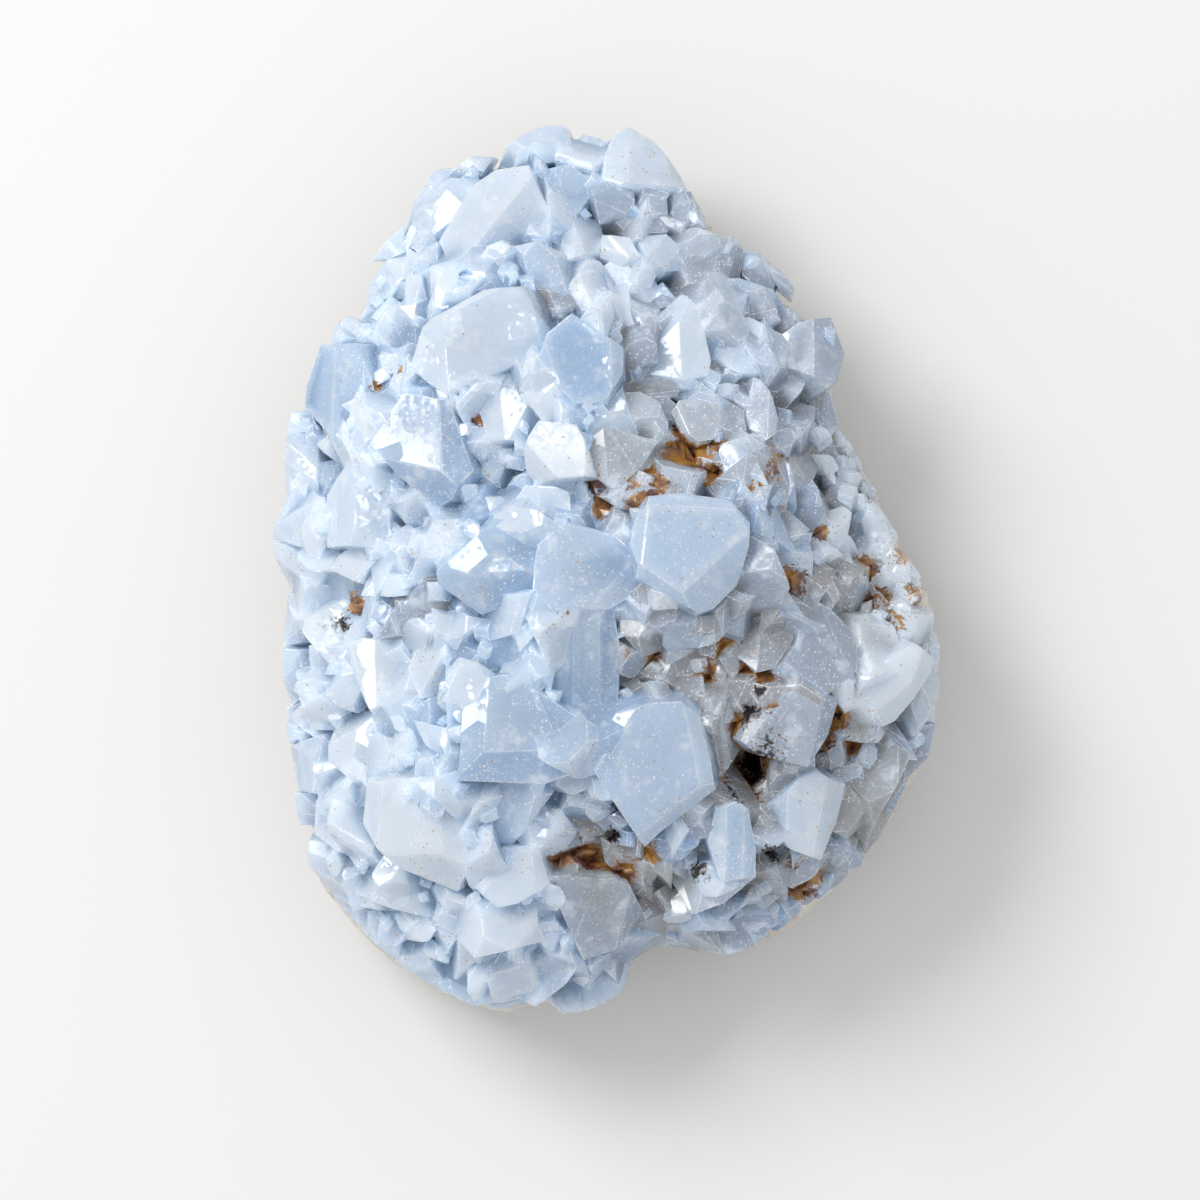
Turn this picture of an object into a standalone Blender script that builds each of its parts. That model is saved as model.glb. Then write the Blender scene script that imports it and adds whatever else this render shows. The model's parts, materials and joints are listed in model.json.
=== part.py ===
"""Rough celestite: pale blue crystals grown together over a piece of the rock that they lined.

The stone lies on a small ground flat, crystals up. +Y runs along its length and +Z up, and the
origin is the middle of the box it fills, on the surface it rests on. Outlines are in millimetres,
as seen from straight above.
"""

import math
import random

import bmesh
import bpy
import numpy as np
from mathutils import Matrix, Vector

MM = 0.001

# Driving dimensions, in millimetres
MIDDLE = Vector((0.0, -3.0))  # bearings and shares of the way to the rim are taken from here
GIRTH_HEIGHT = 9.0  # where the rock is widest
RIM_HEIGHT = 13.0  # top of the rock's side wall
WALL_SLOPE = 1.3  # how far the wall leans in between the girth and its top
ROCK_CROWN = 22.0  # rock's highest point, under the crystals
CRUST_RIM = 18.0  # mean height of the crystals' tops at the rim
CRUST_CROWN = 33.5  # and at the middle
CRUST_FLOOR = 4.0  # solid crystal over the rock, between and under the points
CRUST_FLOOR_AT_RIM = 1.5
GROUND_FLOOR = 2.0  # how much thicker it is where the rim is ground
FLAT_SHARE = 0.56  # the ground flat's radius, as a share of the girth's
GAP = 0.35  # crystals stop this far above the rock
OVERHANG = 3.5  # crystals may stand this far outside the rock's girth
SET_BACK = 1.4  # the rock stays this far inside the drawn outline where crystals overhang it
RELIEF = 1.35  # how strongly the crystals' heights differ
TILT = 1.5  # how strongly their tops lean
SEGMENTS = 48
SEED = 7

# The stone's outline, clockwise from the top. The two ground stretches are smooth arcs
OUTLINE = [
    (-5, 53.6), (3, 53.2), (10, 47.2), (16.5, 39.3), (22, 34.5), (28, 29.5), (28.3, 21), (31, 13.5),
    (34.8, 6), (39, -1), (41.3, -10), (40.7, -18), (37.6, -26), (33.5, -32.5), (27.6, -39.5),
    (20, -45.6), (13, -48), (6, -47.7), (1, -50.5), (-5, -54), (-14, -54.6), (-22.5, -51.2),
    (-30.3, -45), (-36.6, -37), (-38, -30), (-39.2, -22), (-39.6, -12), (-40.4, -2), (-40.3, 6),
    (-38.7, 15), (-37.2, 23.5), (-34, 29.8), (-30, 35.5), (-25.3, 42), (-20, 49), (-13, 52),
]
GROUND_BEARINGS = [(-140, -103), (-73, -28)]  # degrees from +X between which the rim is ground smooth
BARE_BEARINGS = [(-140, -103), (-73, 36)]  # and between which the rock shows outside the crystals
RAMP = 6.0  # degrees over which one kind of rim passes into the other

# Where bare rock stands up between the crystals or outside them: place, radius, height
ROCK_LUMPS = [
    ((34.5, 2.0), 5.0, 6.5),
    ((37.8, -4.5), 4.0, 5.0),
    ((31.5, 8.5), 4.0, 6.0),
    ((29.5, 16.0), 3.0, 4.0),
    ((23.0, -40.5), 5.0, 6.5),
    ((31.8, -31.0), 4.5, 6.5),
    ((11.0, -46.5), 3.5, 2.5),
]

# Open places between the crystals, with no small crystals in them: place and radius
PITS = [
    ((16.4, -25.5), 2.4), ((-32.6, -5.6), 2.8), ((-29.6, 16.3), 1.6), ((19.9, 23.4), 1.6),
    ((-7.3, 32.3), 2.6), ((2.2, 28.2), 2.2), ((19.6, -34.3), 1.7), ((0.7, -31.8), 1.2),
    ((26.0, 12.0), 1.4), ((-23.0, 22.7), 1.4), ((13.9, 25.0), 0.9), ((5.2, -43.5), 1.4),
]

# Each crystal: the outline of its top, how far it stands above the crust's mean height, the
# bearing and angle its top leans towards, and its facets. A facet falls away on the left of a
# walk from its first point to its second, at an angle from the top face.
CROWN_CRYSTALS = [
    ([(-21.3, 44), (-17.5, 49), (-14.5, 50.2), (-10, 49.8), (-7.2, 42.5), (-9.3, 36.7),
      (-13.5, 35), (-16.8, 36.5), (-20.3, 41.5)], 5.5, (0, 8),
     [((-16.2, 37), (-14.2, 49.5), 38), ((-9, 49.6), (-15, 50), 35), ((-8.2, 37), (-8.2, 48), 40)]),
    ([(-24.7, 25.5), (-23, 30), (-15.5, 34.2), (-10.5, 34.5), (-7.2, 28.5), (-8.5, 26), (-16, 23.3),
      (-19.6, 21.5), (-22.5, 23.5)], 4.5, (-20, 6),
     [((-19.3, 21.7), (-20, 31), 34), ((-21.5, 30), (-13.5, 34.1), 50), ((-9.3, 34), (-8.2, 27), 35)]),
    ([(-23.2, 36.5), (-20, 38), (-18.3, 38.6), (-18, 37), (-20, 34.8), (-22.5, 34.4)], 2.0, (180, 15), []),
    ([(-20, 34.3), (-17.3, 36.7), (-14, 34.9), (-17, 33.2), (-19.3, 32.4)], 0.5, (150, 10),
     [((-17.3, 36.7), (-18.8, 32.6), 38)]),
    ([(-24.8, 40.2), (-24.5, 41.5), (-21.6, 42.2), (-21.5, 40.5), (-22.5, 38.3)], 0.0, (120, 10), []),
    ([(-25.3, 41.5), (-24, 45), (-21.5, 49), (-18.8, 49.2), (-21, 44.5), (-22.5, 42)], 0.5, (150, 18), []),
    ([(-19.5, 48.5), (-17, 51), (-14, 51), (-15.5, 48.5)], 0.0, (120, 12), []),
    ([(-30.7, 33.6), (-30.2, 36), (-27.5, 38.3), (-25.3, 38.7), (-25, 36), (-27, 34)], 1.0, (140, 10),
     [((-25.8, 34), (-26.5, 38.6), 35)]),
    ([(-29.5, 31.4), (-27, 33.9), (-25.2, 32.7), (-24.8, 31.3), (-27.5, 30.2)], 0.0, (-60, 15), []),
    ([(-35.4, 28), (-34, 30.2), (-31.5, 31.4), (-29.8, 30), (-29.5, 28)], 1.0, (140, 12), []),
    ([(-25.4, 33), (-24.8, 36.2), (-23, 36.4), (-22.6, 33.5), (-24, 32.4)], 1.5, (160, 12), []),
    ([(-28.8, 38.3), (-27.5, 40.2), (-25.3, 42.2), (-24.7, 39.2), (-26.5, 38.4)], 0.0, (140, 15), []),
    ([(-12.8, 50.2), (-12, 52.6), (-9, 54.3), (-6.8, 55.3), (-5.2, 54.2), (-3.8, 50.5), (-9.8, 49.6)],
     1.0, (80, 14), [((-9.2, 49.6), (-8.2, 54.6), 30)]),
    ([(-4, 53), (-3.3, 53.7), (0, 52.7), (0.3, 50.5), (-3.6, 49.8)], 0.0, (90, 12), []),
    ([(-0.2, 48.5), (0, 51), (0.8, 53.5), (2.3, 54.5), (5.5, 52.6), (8.7, 49.2), (9.8, 47.5),
      (8, 47), (1.5, 47.4)],
     2.0, (60, 12), [((2.2, 47.3), (2.8, 54.2), 28), ((6.6, 51.6), (7.8, 47.2), 30)]),
    ([(-2.3, 46.5), (0, 47.6), (3, 47.1), (3.2, 45), (2, 43.4), (-1, 43.1)], 1.0, (-60, 16), []),
    ([(-9.6, 49.4), (-4.5, 49.6), (-2.7, 48), (-2.4, 45.5), (-4, 43.4), (-6, 43.4), (-8, 45)],
     1.5, (10, 10), [((-6.4, 43.6), (-5.6, 49.4), 25)]),
    ([(-8.8, 38), (-7.2, 42.5), (-5.5, 43.7), (-1.5, 43.5), (-1, 41.5), (-1.4, 39.3), (-3.5, 38.4),
      (-8, 37.2)], 0.5, (90, 10), [((-4.4, 38.4), (-4, 43.6), 22)]),
    ([(4, 45.3), (4.2, 47.3), (6, 48.2), (7.6, 46.8), (7, 44.9), (5.3, 44.3)], 1.5, (100, 8), []),
    ([(7.8, 46), (10, 46.6), (12.2, 44), (10.8, 42.8), (8.3, 44)], 0.5, (50, 15), []),
    ([(4, 41.2), (7, 41.2), (9.2, 39), (9.5, 37.3), (7, 36.6), (4.8, 38)], 1.0, (40, 10), []),
    ([(1.2, 43), (4.5, 44.2), (8, 43.4), (7.2, 41.4), (3, 41.2)], 0.0, (110, 12), []),
    ([(9.2, 42), (10.3, 42.8), (12, 41.5), (12, 40.2), (10, 40)], 1.5, (120, 12), []),
    ([(-1, 38.5), (-0.8, 41), (2.5, 41), (3.8, 38.6), (1.5, 37.6)], 0.0, (150, 12), []),
    ([(-3.4, 34.5), (-2.5, 35.8), (0, 37.7), (3, 38.2), (5, 37), (6.2, 34.5), (5, 32.8), (-2, 33.2)],
     -1.0, (120, 6), []),
    ([(-6.2, 33.2), (-4, 34), (-2.9, 32), (-3.4, 30.3), (-6, 30.6)], 0.5, (60, 12), []),
    ([(-3.2, 31.3), (-2.8, 33), (0, 34.1), (3.5, 33.2), (4.1, 31), (2, 29.8), (-2, 30)], 1.5, (120, 10), []),
    ([(4.2, 30.5), (5, 32.2), (6.4, 32), (6.4, 30.5), (5.3, 29.1)], 0.0, (0, 15), []),
]

UPPER_RIGHT_CRYSTALS = [
    ([(9.8, 37.5), (12.5, 40.2), (15, 41.1), (16.8, 39.4), (16.4, 36), (13.5, 35.2), (10.3, 35.6)],
     2.0, (30, 12), [((12.8, 35.4), (13.6, 41), 26)]),
    ([(16.4, 39.2), (20, 39), (20.6, 36.5), (20.1, 34.3), (17.5, 35.2), (16.3, 36.2)], 1.0, (50, 15), []),
    ([(20.1, 39), (21.2, 36.8), (22.6, 34.8), (22.2, 33.4), (20.6, 34.8), (19.8, 36.5)], 0.5, (30, 20), []),
    ([(10.2, 35.7), (16, 35.8), (20, 34.5), (21.3, 32.5), (20, 30.2), (13.5, 29.8), (11.2, 31.5)],
     1.5, (-60, 12), [((16.2, 29.8), (15.4, 35.8), 22)]),
    ([(12.3, 30), (17, 31), (18.7, 30.2), (21.2, 27), (20.6, 25.3), (18.5, 24), (16, 24), (14, 25.3),
      (12.4, 26.3)], 3.0, (80, 6), [((13.2, 25.6), (12.9, 30.2), 55), ((19.6, 30), (20.2, 25), 40)]),
    ([(3.6, 26), (5, 29.3), (7, 31.6), (9.3, 33.9), (10.9, 31.8), (12.4, 25.5), (12, 23.8), (9, 23.2),
      (6, 24.2)], 2.5, (120, 8), [((8.8, 23.4), (8.4, 33.4), 24)]),
    ([(21.2, 26), (21.4, 28.6), (23.5, 30.5), (27.5, 31.2), (29.5, 27), (28.3, 23.3), (26.5, 22.3),
      (23.5, 24.8)], 4.5, (90, 4), [((24.9, 23), (24.9, 31.4), 30), ((24.9, 31.4), (24.9, 23), 20)]),
    ([(20.2, 21), (21, 23.2), (22.5, 24.8), (23.9, 25.1), (24.3, 23.5), (22.5, 20.3), (20.8, 19.8)],
     2.0, (150, 15), []),
    ([(17.5, 23.6), (18.5, 23.2), (20, 21.2), (20.7, 19), (20.6, 17), (19, 15.8), (17, 17.3), (16.6, 19)],
     3.5, (170, 20), [((19.4, 22.4), (19.2, 15.8), 40)]),
    ([(24.5, 23), (27.4, 22.2), (28.2, 20), (28.3, 18), (26.5, 15.8), (25, 19.8)], 2.0, (0, 16), []),
    ([(20.7, 16.8), (20.7, 19.6), (23, 20.7), (25.1, 20.1), (25.1, 18.4), (22.5, 16.6)], 1.5, (110, 10), []),
    ([(22.2, 15), (22.5, 16.4), (25, 18.2), (24.9, 15), (23.2, 14)], 0.0, (-30, 30), []),
    ([(14.8, 16.5), (16.2, 17.4), (19, 15.9), (18.9, 14), (17.5, 12.8), (15, 13.9)], 2.0, (100, 8), []),
    ([(13.8, 18.8), (16.6, 18.8), (17.4, 23.2), (15, 23.4), (13, 21.2)], 1.0, (160, 12), []),
    ([(8.8, 20.8), (13.2, 21.3), (12.6, 23.5), (9.3, 23.4)], 0.5, (60, 12), []),
    ([(23.8, 12.7), (24.5, 14.4), (28, 14.2), (28.8, 13), (27, 11.6)], 0.0, (-50, 16), []),
    ([(26.3, 9), (28, 11.7), (30.3, 10.6), (30.6, 8), (29, 6.3)], 0.5, (60, 10), []),
    ([(25.8, 6), (28.2, 6.2), (28.5, 4), (26.1, 4.4)], 0.5, (30, 12), []),
    ([(16.3, 12), (18.5, 13.4), (21, 14.8), (24.7, 9), (22, 7.2), (18.1, 9.3)], 2.0, (-60, 14),
     [((21.8, 14), (18.6, 8.6), 24)]),
]

LEFT_CRYSTALS = [
    ([(-38.3, 20.5), (-38, 23), (-35.8, 27.8), (-30.5, 27.8), (-29.3, 24), (-28.5, 19.6), (-31.3, 15),
      (-33, 15.3), (-35, 17.5)],
     3.0, (170, 10), [((-33.6, 15.4), (-33.2, 27.8), 22), ((-29.8, 27), (-30, 17), 35)]),
    ([(-28.3, 20.2), (-26.6, 18.2), (-26.5, 15), (-28, 14.6), (-29.3, 17)], -0.5, (-30, 30), []),
    ([(-30.9, 13.5), (-28.5, 15), (-25.5, 11.7), (-21.9, 8.4), (-25, 6.8), (-27.5, 8)], 1.5, (-30, 26), []),
    ([(-28.9, 15.5), (-26.8, 18.7), (-24.8, 21.7), (-19.5, 20.7), (-17.9, 15), (-17, 12.5), (-19.5, 9.3),
      (-21.8, 8.4), (-26, 12)],
     3.5, (140, 8), [((-17.5, 11.4), (-27, 13.6), 38), ((-20.6, 21), (-20, 9), 28)]),
    ([(-36.5, 17.8), (-34.9, 17.8), (-32.9, 14.2), (-33.3, 12.8), (-36.2, 16)], 1.0, (150, 15), []),
    ([(-31.7, 13.2), (-30.1, 12.2), (-27.9, 8), (-28, 5), (-29.5, 3.1), (-34.6, 3), (-34.9, 5.5),
      (-34.7, 9.4)], 3.0, (165, 16), [((-30.3, 12.4), (-31.3, 3), 34), ((-33.2, 3), (-33, 11), 20)]),
    ([(-26.4, 6.2), (-25.7, 4.2), (-29.3, 0.4), (-30.6, -1.4), (-33.7, 0.1), (-32.9, 2)],
     1.5, (135, 14), []),
    ([(-26.2, 6.7), (-22, 8.7), (-18.8, 9.2), (-19.6, 5), (-20.2, 2), (-24.2, 2.3)], 1.0, (90, 10), []),
    ([(-19.2, 9.5), (-16.5, 10.7), (-14.9, 10.6), (-14.6, 6.5), (-18.5, 3), (-20, 4.5)], 0.0, (-45, 24), []),
    ([(-16.6, 16.6), (-15.5, 17), (-14.3, 15.2), (-15, 13.6), (-17.2, 13.8)], 1.0, (120, 10), []),
    ([(-39.5, 17.2), (-36.5, 17.5), (-35.6, 13), (-35.8, 10), (-40, 10)], 1.0, (170, 14), []),
    ([(-40.9, 9.6), (-37, 9.9), (-35, 9), (-34.9, 4), (-37, 2.8), (-41.1, 4)], 1.5, (180, 14), []),
    ([(-41.1, 3.6), (-36, 3), (-34.3, 0), (-36, -2.4), (-40.7, -2.2)], 0.5, (180, 14), []),
    ([(-40.3, -2.8), (-35.6, -3.3), (-35.4, -8.2), (-40.2, -9)], 0.5, (180, 12), []),
    ([(-38.9, 19.5), (-36.6, 19.8), (-35.5, 17.3), (-39.4, 17)], 0.0, (170, 14), []),
    ([(-34.5, -1.8), (-30.5, -2.3), (-31, -4.2), (-34.4, -4)], -1.0, (120, 8), []),
    ([(-30.2, -3.3), (-26.4, -2.8), (-26.2, -4.6), (-28, -7.2), (-30.2, -7.6)], 0.0, (-45, 18), []),
    ([(-24.2, -0.3), (-22.7, -4.5), (-23.5, -6.5), (-26, -7.7), (-28.5, -7.4), (-26.3, -3.3)],
     0.0, (-45, 28), []),
    ([(-29.5, 0.7), (-26, 4.2), (-23.1, 2.1), (-24.4, 0), (-27, -3), (-30.2, -3)], 1.0, (90, 8), []),
    ([(-32.2, -9), (-30, -8), (-27.4, -8.3), (-25.4, -13), (-26, -15.2), (-29, -17), (-31, -13)],
     2.0, (135, 8), [((-28.4, -8), (-28.2, -16.8), 26)]),
    ([(-36.7, -9), (-32.5, -9), (-31.1, -12), (-32, -15.2), (-36.2, -14.7)], 1.0, (150, 10), []),
    ([(-37.7, -15.5), (-35, -14.6), (-32.8, -16), (-33.8, -19.3), (-37.7, -19.3)], 1.0, (160, 12), []),
    ([(-40.1, -9.4), (-37, -9.6), (-36.6, -15), (-39.8, -16)], 0.5, (180, 14), []),
    ([(-39.8, -16.8), (-37.6, -16), (-37.3, -20.2), (-39.1, -21)], 0.0, (180, 12), []),
    ([(-39.7, -21.5), (-35, -19.8), (-33.3, -23), (-35.3, -27.2), (-38.8, -26.7)], 1.0, (170, 12), []),
    ([(-38.6, -27), (-35, -27.4), (-34.8, -31.2), (-38, -31)], 0.5, (180, 12), []),
    ([(-23.5, -5.8), (-22, -4.8), (-19.9, -5.2), (-19.4, -9), (-20.4, -14.6), (-23, -15.4), (-24.2, -12)],
     1.5, (180, 14), []),
    ([(-20.9, 0.3), (-14.5, 6.5), (-12.5, 6.2), (-9, 3.7), (-8.7, 0.5), (-9.2, -1.9), (-12, -3.7),
      (-15.7, -5), (-20.6, -1.6)], 4.0, (90, 5),
     [((-8.6, 0.2), (-19.5, -0.4), 24), ((-20.4, 0.3), (-14.4, 5.6), 55), ((-12.8, 6.2), (-8.6, 2.6), 40)]),
    ([(-24.1, 0), (-22.5, 1.7), (-21.3, 0), (-20.4, -4.4), (-22.3, -4.7), (-23.4, -2.5)],
     1.0, (180, 20), []),
    ([(-20, -4.8), (-15.8, -4.8), (-14.8, -8.2), (-19, -8.7)], 0.5, (120, 10), []),
    ([(-19, -11), (-17.5, -10), (-16, -10.3), (-15.3, -12.2), (-18.2, -13.2)], 1.0, (150, 12), []),
    ([(-25, -18.5), (-24, -16.8), (-22, -15.3), (-20, -15), (-17.8, -18), (-18.5, -24), (-21.8, -25.2),
      (-23.4, -21)], 2.0, (20, 10), [((-21.4, -25), (-21.8, -15.2), 30)]),
    ([(-19.9, -15.5), (-18.5, -14.1), (-17.2, -14.4), (-16.4, -16), (-16.6, -18), (-18.2, -18.3)],
     3.0, (135, 10), []),
    ([(-34.2, -17), (-30, -17.3), (-26.8, -19), (-27.3, -23), (-31, -25.7), (-34.2, -23)],
     2.0, (140, 8), [((-30.4, -17.3), (-31.6, -25.6), 22)]),
    ([(-27.2, -16.8), (-24.6, -16.3), (-24.3, -20), (-23, -24), (-26, -25), (-28, -22)], 1.0, (150, 12), []),
    ([(-35.8, -28), (-33.5, -25), (-30, -25.8), (-30.1, -31), (-33, -34.2), (-36, -32)],
     1.5, (150, 10), [((-32, -25.4), (-32.4, -33.6), 24)]),
    ([(-37, -33.2), (-32, -34.3), (-30, -38), (-31.5, -42), (-36.4, -38)], 1.0, (170, 10), []),
    ([(-33.2, -32.5), (-29.5, -31.5), (-28, -34), (-30, -37)], 1.5, (130, 12), []),
]

MIDDLE_CRYSTALS = [
    ([(-8.7, 25.3), (-7.5, 28.7), (-4.5, 31.2), (-1.5, 29), (1.6, 27.3), (1.6, 24), (-0.3, 20.6),
      (-4.3, 20.3), (-6.6, 22.8)],
     4.5, (120, 5), [((-5.4, 20.6), (-7.6, 27), 24), ((0.2, 28), (0.4, 21), 35)]),
    ([(-10.7, 25), (-7, 25.2), (-4.6, 24), (-4.1, 22), (-3.4, 17.4), (-9, 19.3), (-11.2, 21)],
     2.5, (150, 14), []),
    ([(-16.2, 23.2), (-10.5, 25.2), (-8.8, 17.5), (-9.4, 16), (-14.6, 15.7), (-15.9, 19.5)],
     2.5, (100, 8), [((-12.6, 15.8), (-13.4, 24), 24)]),
    ([(-10.4, 14.5), (-9.8, 16.2), (-8.5, 18.2), (-4, 17.7), (-3, 16), (-1.8, 11.4), (-9, 11),
      (-10.2, 12.5)], 4.0, (140, 10), [((-3, 17), (-2.8, 11.2), 38)]),
    ([(-4, 18.5), (-2.5, 20.2), (0, 20.4), (3, 16.5), (6, 15.8), (4, 12.8), (1.5, 10.3), (0.3, 10),
      (-2.2, 11.8)], 3.0, (45, 8), [((0, 10), (-1, 20.2), 22)]),
    ([(-0.2, 20.5), (1.5, 17.6), (5, 15.8), (7.7, 17), (8.7, 18.3), (8.2, 20.2), (7, 21.2), (3.5, 21.2)],
     1.5, (60, 12), [((4.6, 16), (4.2, 21.2), 22)]),
    ([(1.6, 21), (8.4, 21.2), (8.6, 23.2), (4, 24.4), (1.8, 23.6)], 1.0, (100, 10), []),
    ([(7.7, 19.5), (8.5, 20.7), (10.5, 21), (13.6, 20.3), (14.7, 18.8), (12.5, 15.9), (11, 15.6), (8.9, 17)],
     3.0, (80, 6), [((10, 16), (8.2, 20), 45), ((13.4, 20.4), (13.2, 16.4), 35)]),
    ([(-11.7, 6), (-11.5, 8.5), (-10.2, 10.4), (-6.5, 10.2), (-4.8, 9.5), (-4.6, 7), (-7, 4), (-9, 4.3)],
     3.0, (170, 6), [((-8.2, 4.2), (-8.6, 10.3), 22)]),
    ([(-9.7, 11.2), (-2, 11.7), (-2.3, 8.8), (-6.5, 9.2)], 1.0, (-90, 10), []),
    ([(-4.7, 8.7), (-2.3, 9.5), (-1.8, 6.3), (-4.7, 6)], 1.0, (0, 12), []),
    ([(-2.2, 11.2), (0.3, 8.7), (2.7, 5), (1, 3.8), (-2.2, 5.8)], 1.5, (10, 20), []),
    ([(-8.9, 1), (-9.2, -2), (-7, -4.6), (0, -4.5), (3.2, -2.5), (3.6, -1), (2.6, 2.6), (0.5, 4.4),
      (-5, 6), (-8.6, 3.2)], 4.5, (100, 4), [((3, 1.4), (-2.6, -4.6), 26), ((-5.4, 5.8), (0.8, 4.2), 40)]),
    ([(3, 3.5), (3.5, 6.2), (5, 9), (9, 9.4), (14.6, 8.6), (17, 5.8), (16.9, 3), (15.6, -1.5),
      (13, -4.1), (11, -4.8), (9.5, -4.1), (3.8, -0.6)], 7.0, (100, 4),
     [((16.8, 4.9), (8.8, -2.6), 28), ((9.6, -3.2), (3.6, 1), 55), ((3.8, 0.8), (4.6, 7.4), 50),
      ((5.2, 8), (15.2, 7.4), 45), ((14.4, 8.6), (17, 4.4), 35)]),
    ([(-16.2, -5), (-12, -3.3), (-9.5, -1.9), (-6.6, -4.8), (-7.8, -7), (-9.6, -12.2), (-14.2, -11.2)],
     2.5, (150, 5), [((-11.2, -11.8), (-12.2, -3.4), 16)]),
    ([(-9.8, -11), (-7.7, -6.3), (-3, -4.5), (0.4, -4.4), (1.2, -9.5), (0.9, -16.6), (-2.8, -18.7),
      (-6, -16.7), (-9.7, -13.5)],
     3.0, (-80, 10), [((-4.4, -17.8), (-4.2, -4.6), 20), ((-1.2, -4.4), (-1, -17.8), 24)]),
    ([(0.8, -4.8), (4, -3.8), (4.7, -7), (0.8, -8.2)], 2.5, (80, 10), []),
    ([(1, -8), (3.6, -7.6), (4.4, -9), (2.5, -10), (1, -9.8)], 1.5, (120, 12), []),
    ([(3.7, -1.8), (9, -4.3), (9.7, -5.5), (7.5, -7.6), (4.6, -6.6)], 1.5, (-60, 15), []),
    ([(9.5, -5), (13.5, -5), (14.6, -8.2), (12.2, -10.2), (7.8, -8)], 0.5, (-40, 14), []),
    ([(4.6, -10.5), (7, -9.8), (12.4, -10.3), (13, -13), (11, -15.5), (7, -15)], 0.5, (-30, 10), []),
    ([(0.5, -11), (2.5, -10.6), (5, -12), (7, -14), (3.5, -16), (0.5, -14.5)], -0.5, (-60, 24), []),
    ([(-18.2, -25.3), (-17.7, -17), (-15, -12.8), (-12, -12.3), (-8, -14.8), (-2.8, -18.5), (-3, -22),
      (-4, -24.2), (-8, -25.7)], 4.5, (90, 8),
     [((-3, -21.4), (-18.4, -21.8), 24), ((-15.4, -25.2), (-14.6, -12.6), 22),
      ((-9.4, -13), (-4.6, -24), 14)]),
    ([(-3.2, -18.3), (0, -16.8), (2.2, -19.3), (-1, -21.5), (-2.8, -21)], -0.5, (-60, 24), []),
    ([(1, -17.3), (5, -15.8), (8.7, -15.7), (10.7, -17.5), (12.2, -23), (12.7, -26.5), (6, -31.7),
      (4.3, -33.4), (0, -27), (-2.7, -22.5)], 5.0, (60, 6),
     [((12.8, -24.4), (3.8, -31.6), 42), ((-1.6, -24), (3.4, -16.2), 30), ((8.8, -15.6), (11, -26), 22)]),
]

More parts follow.
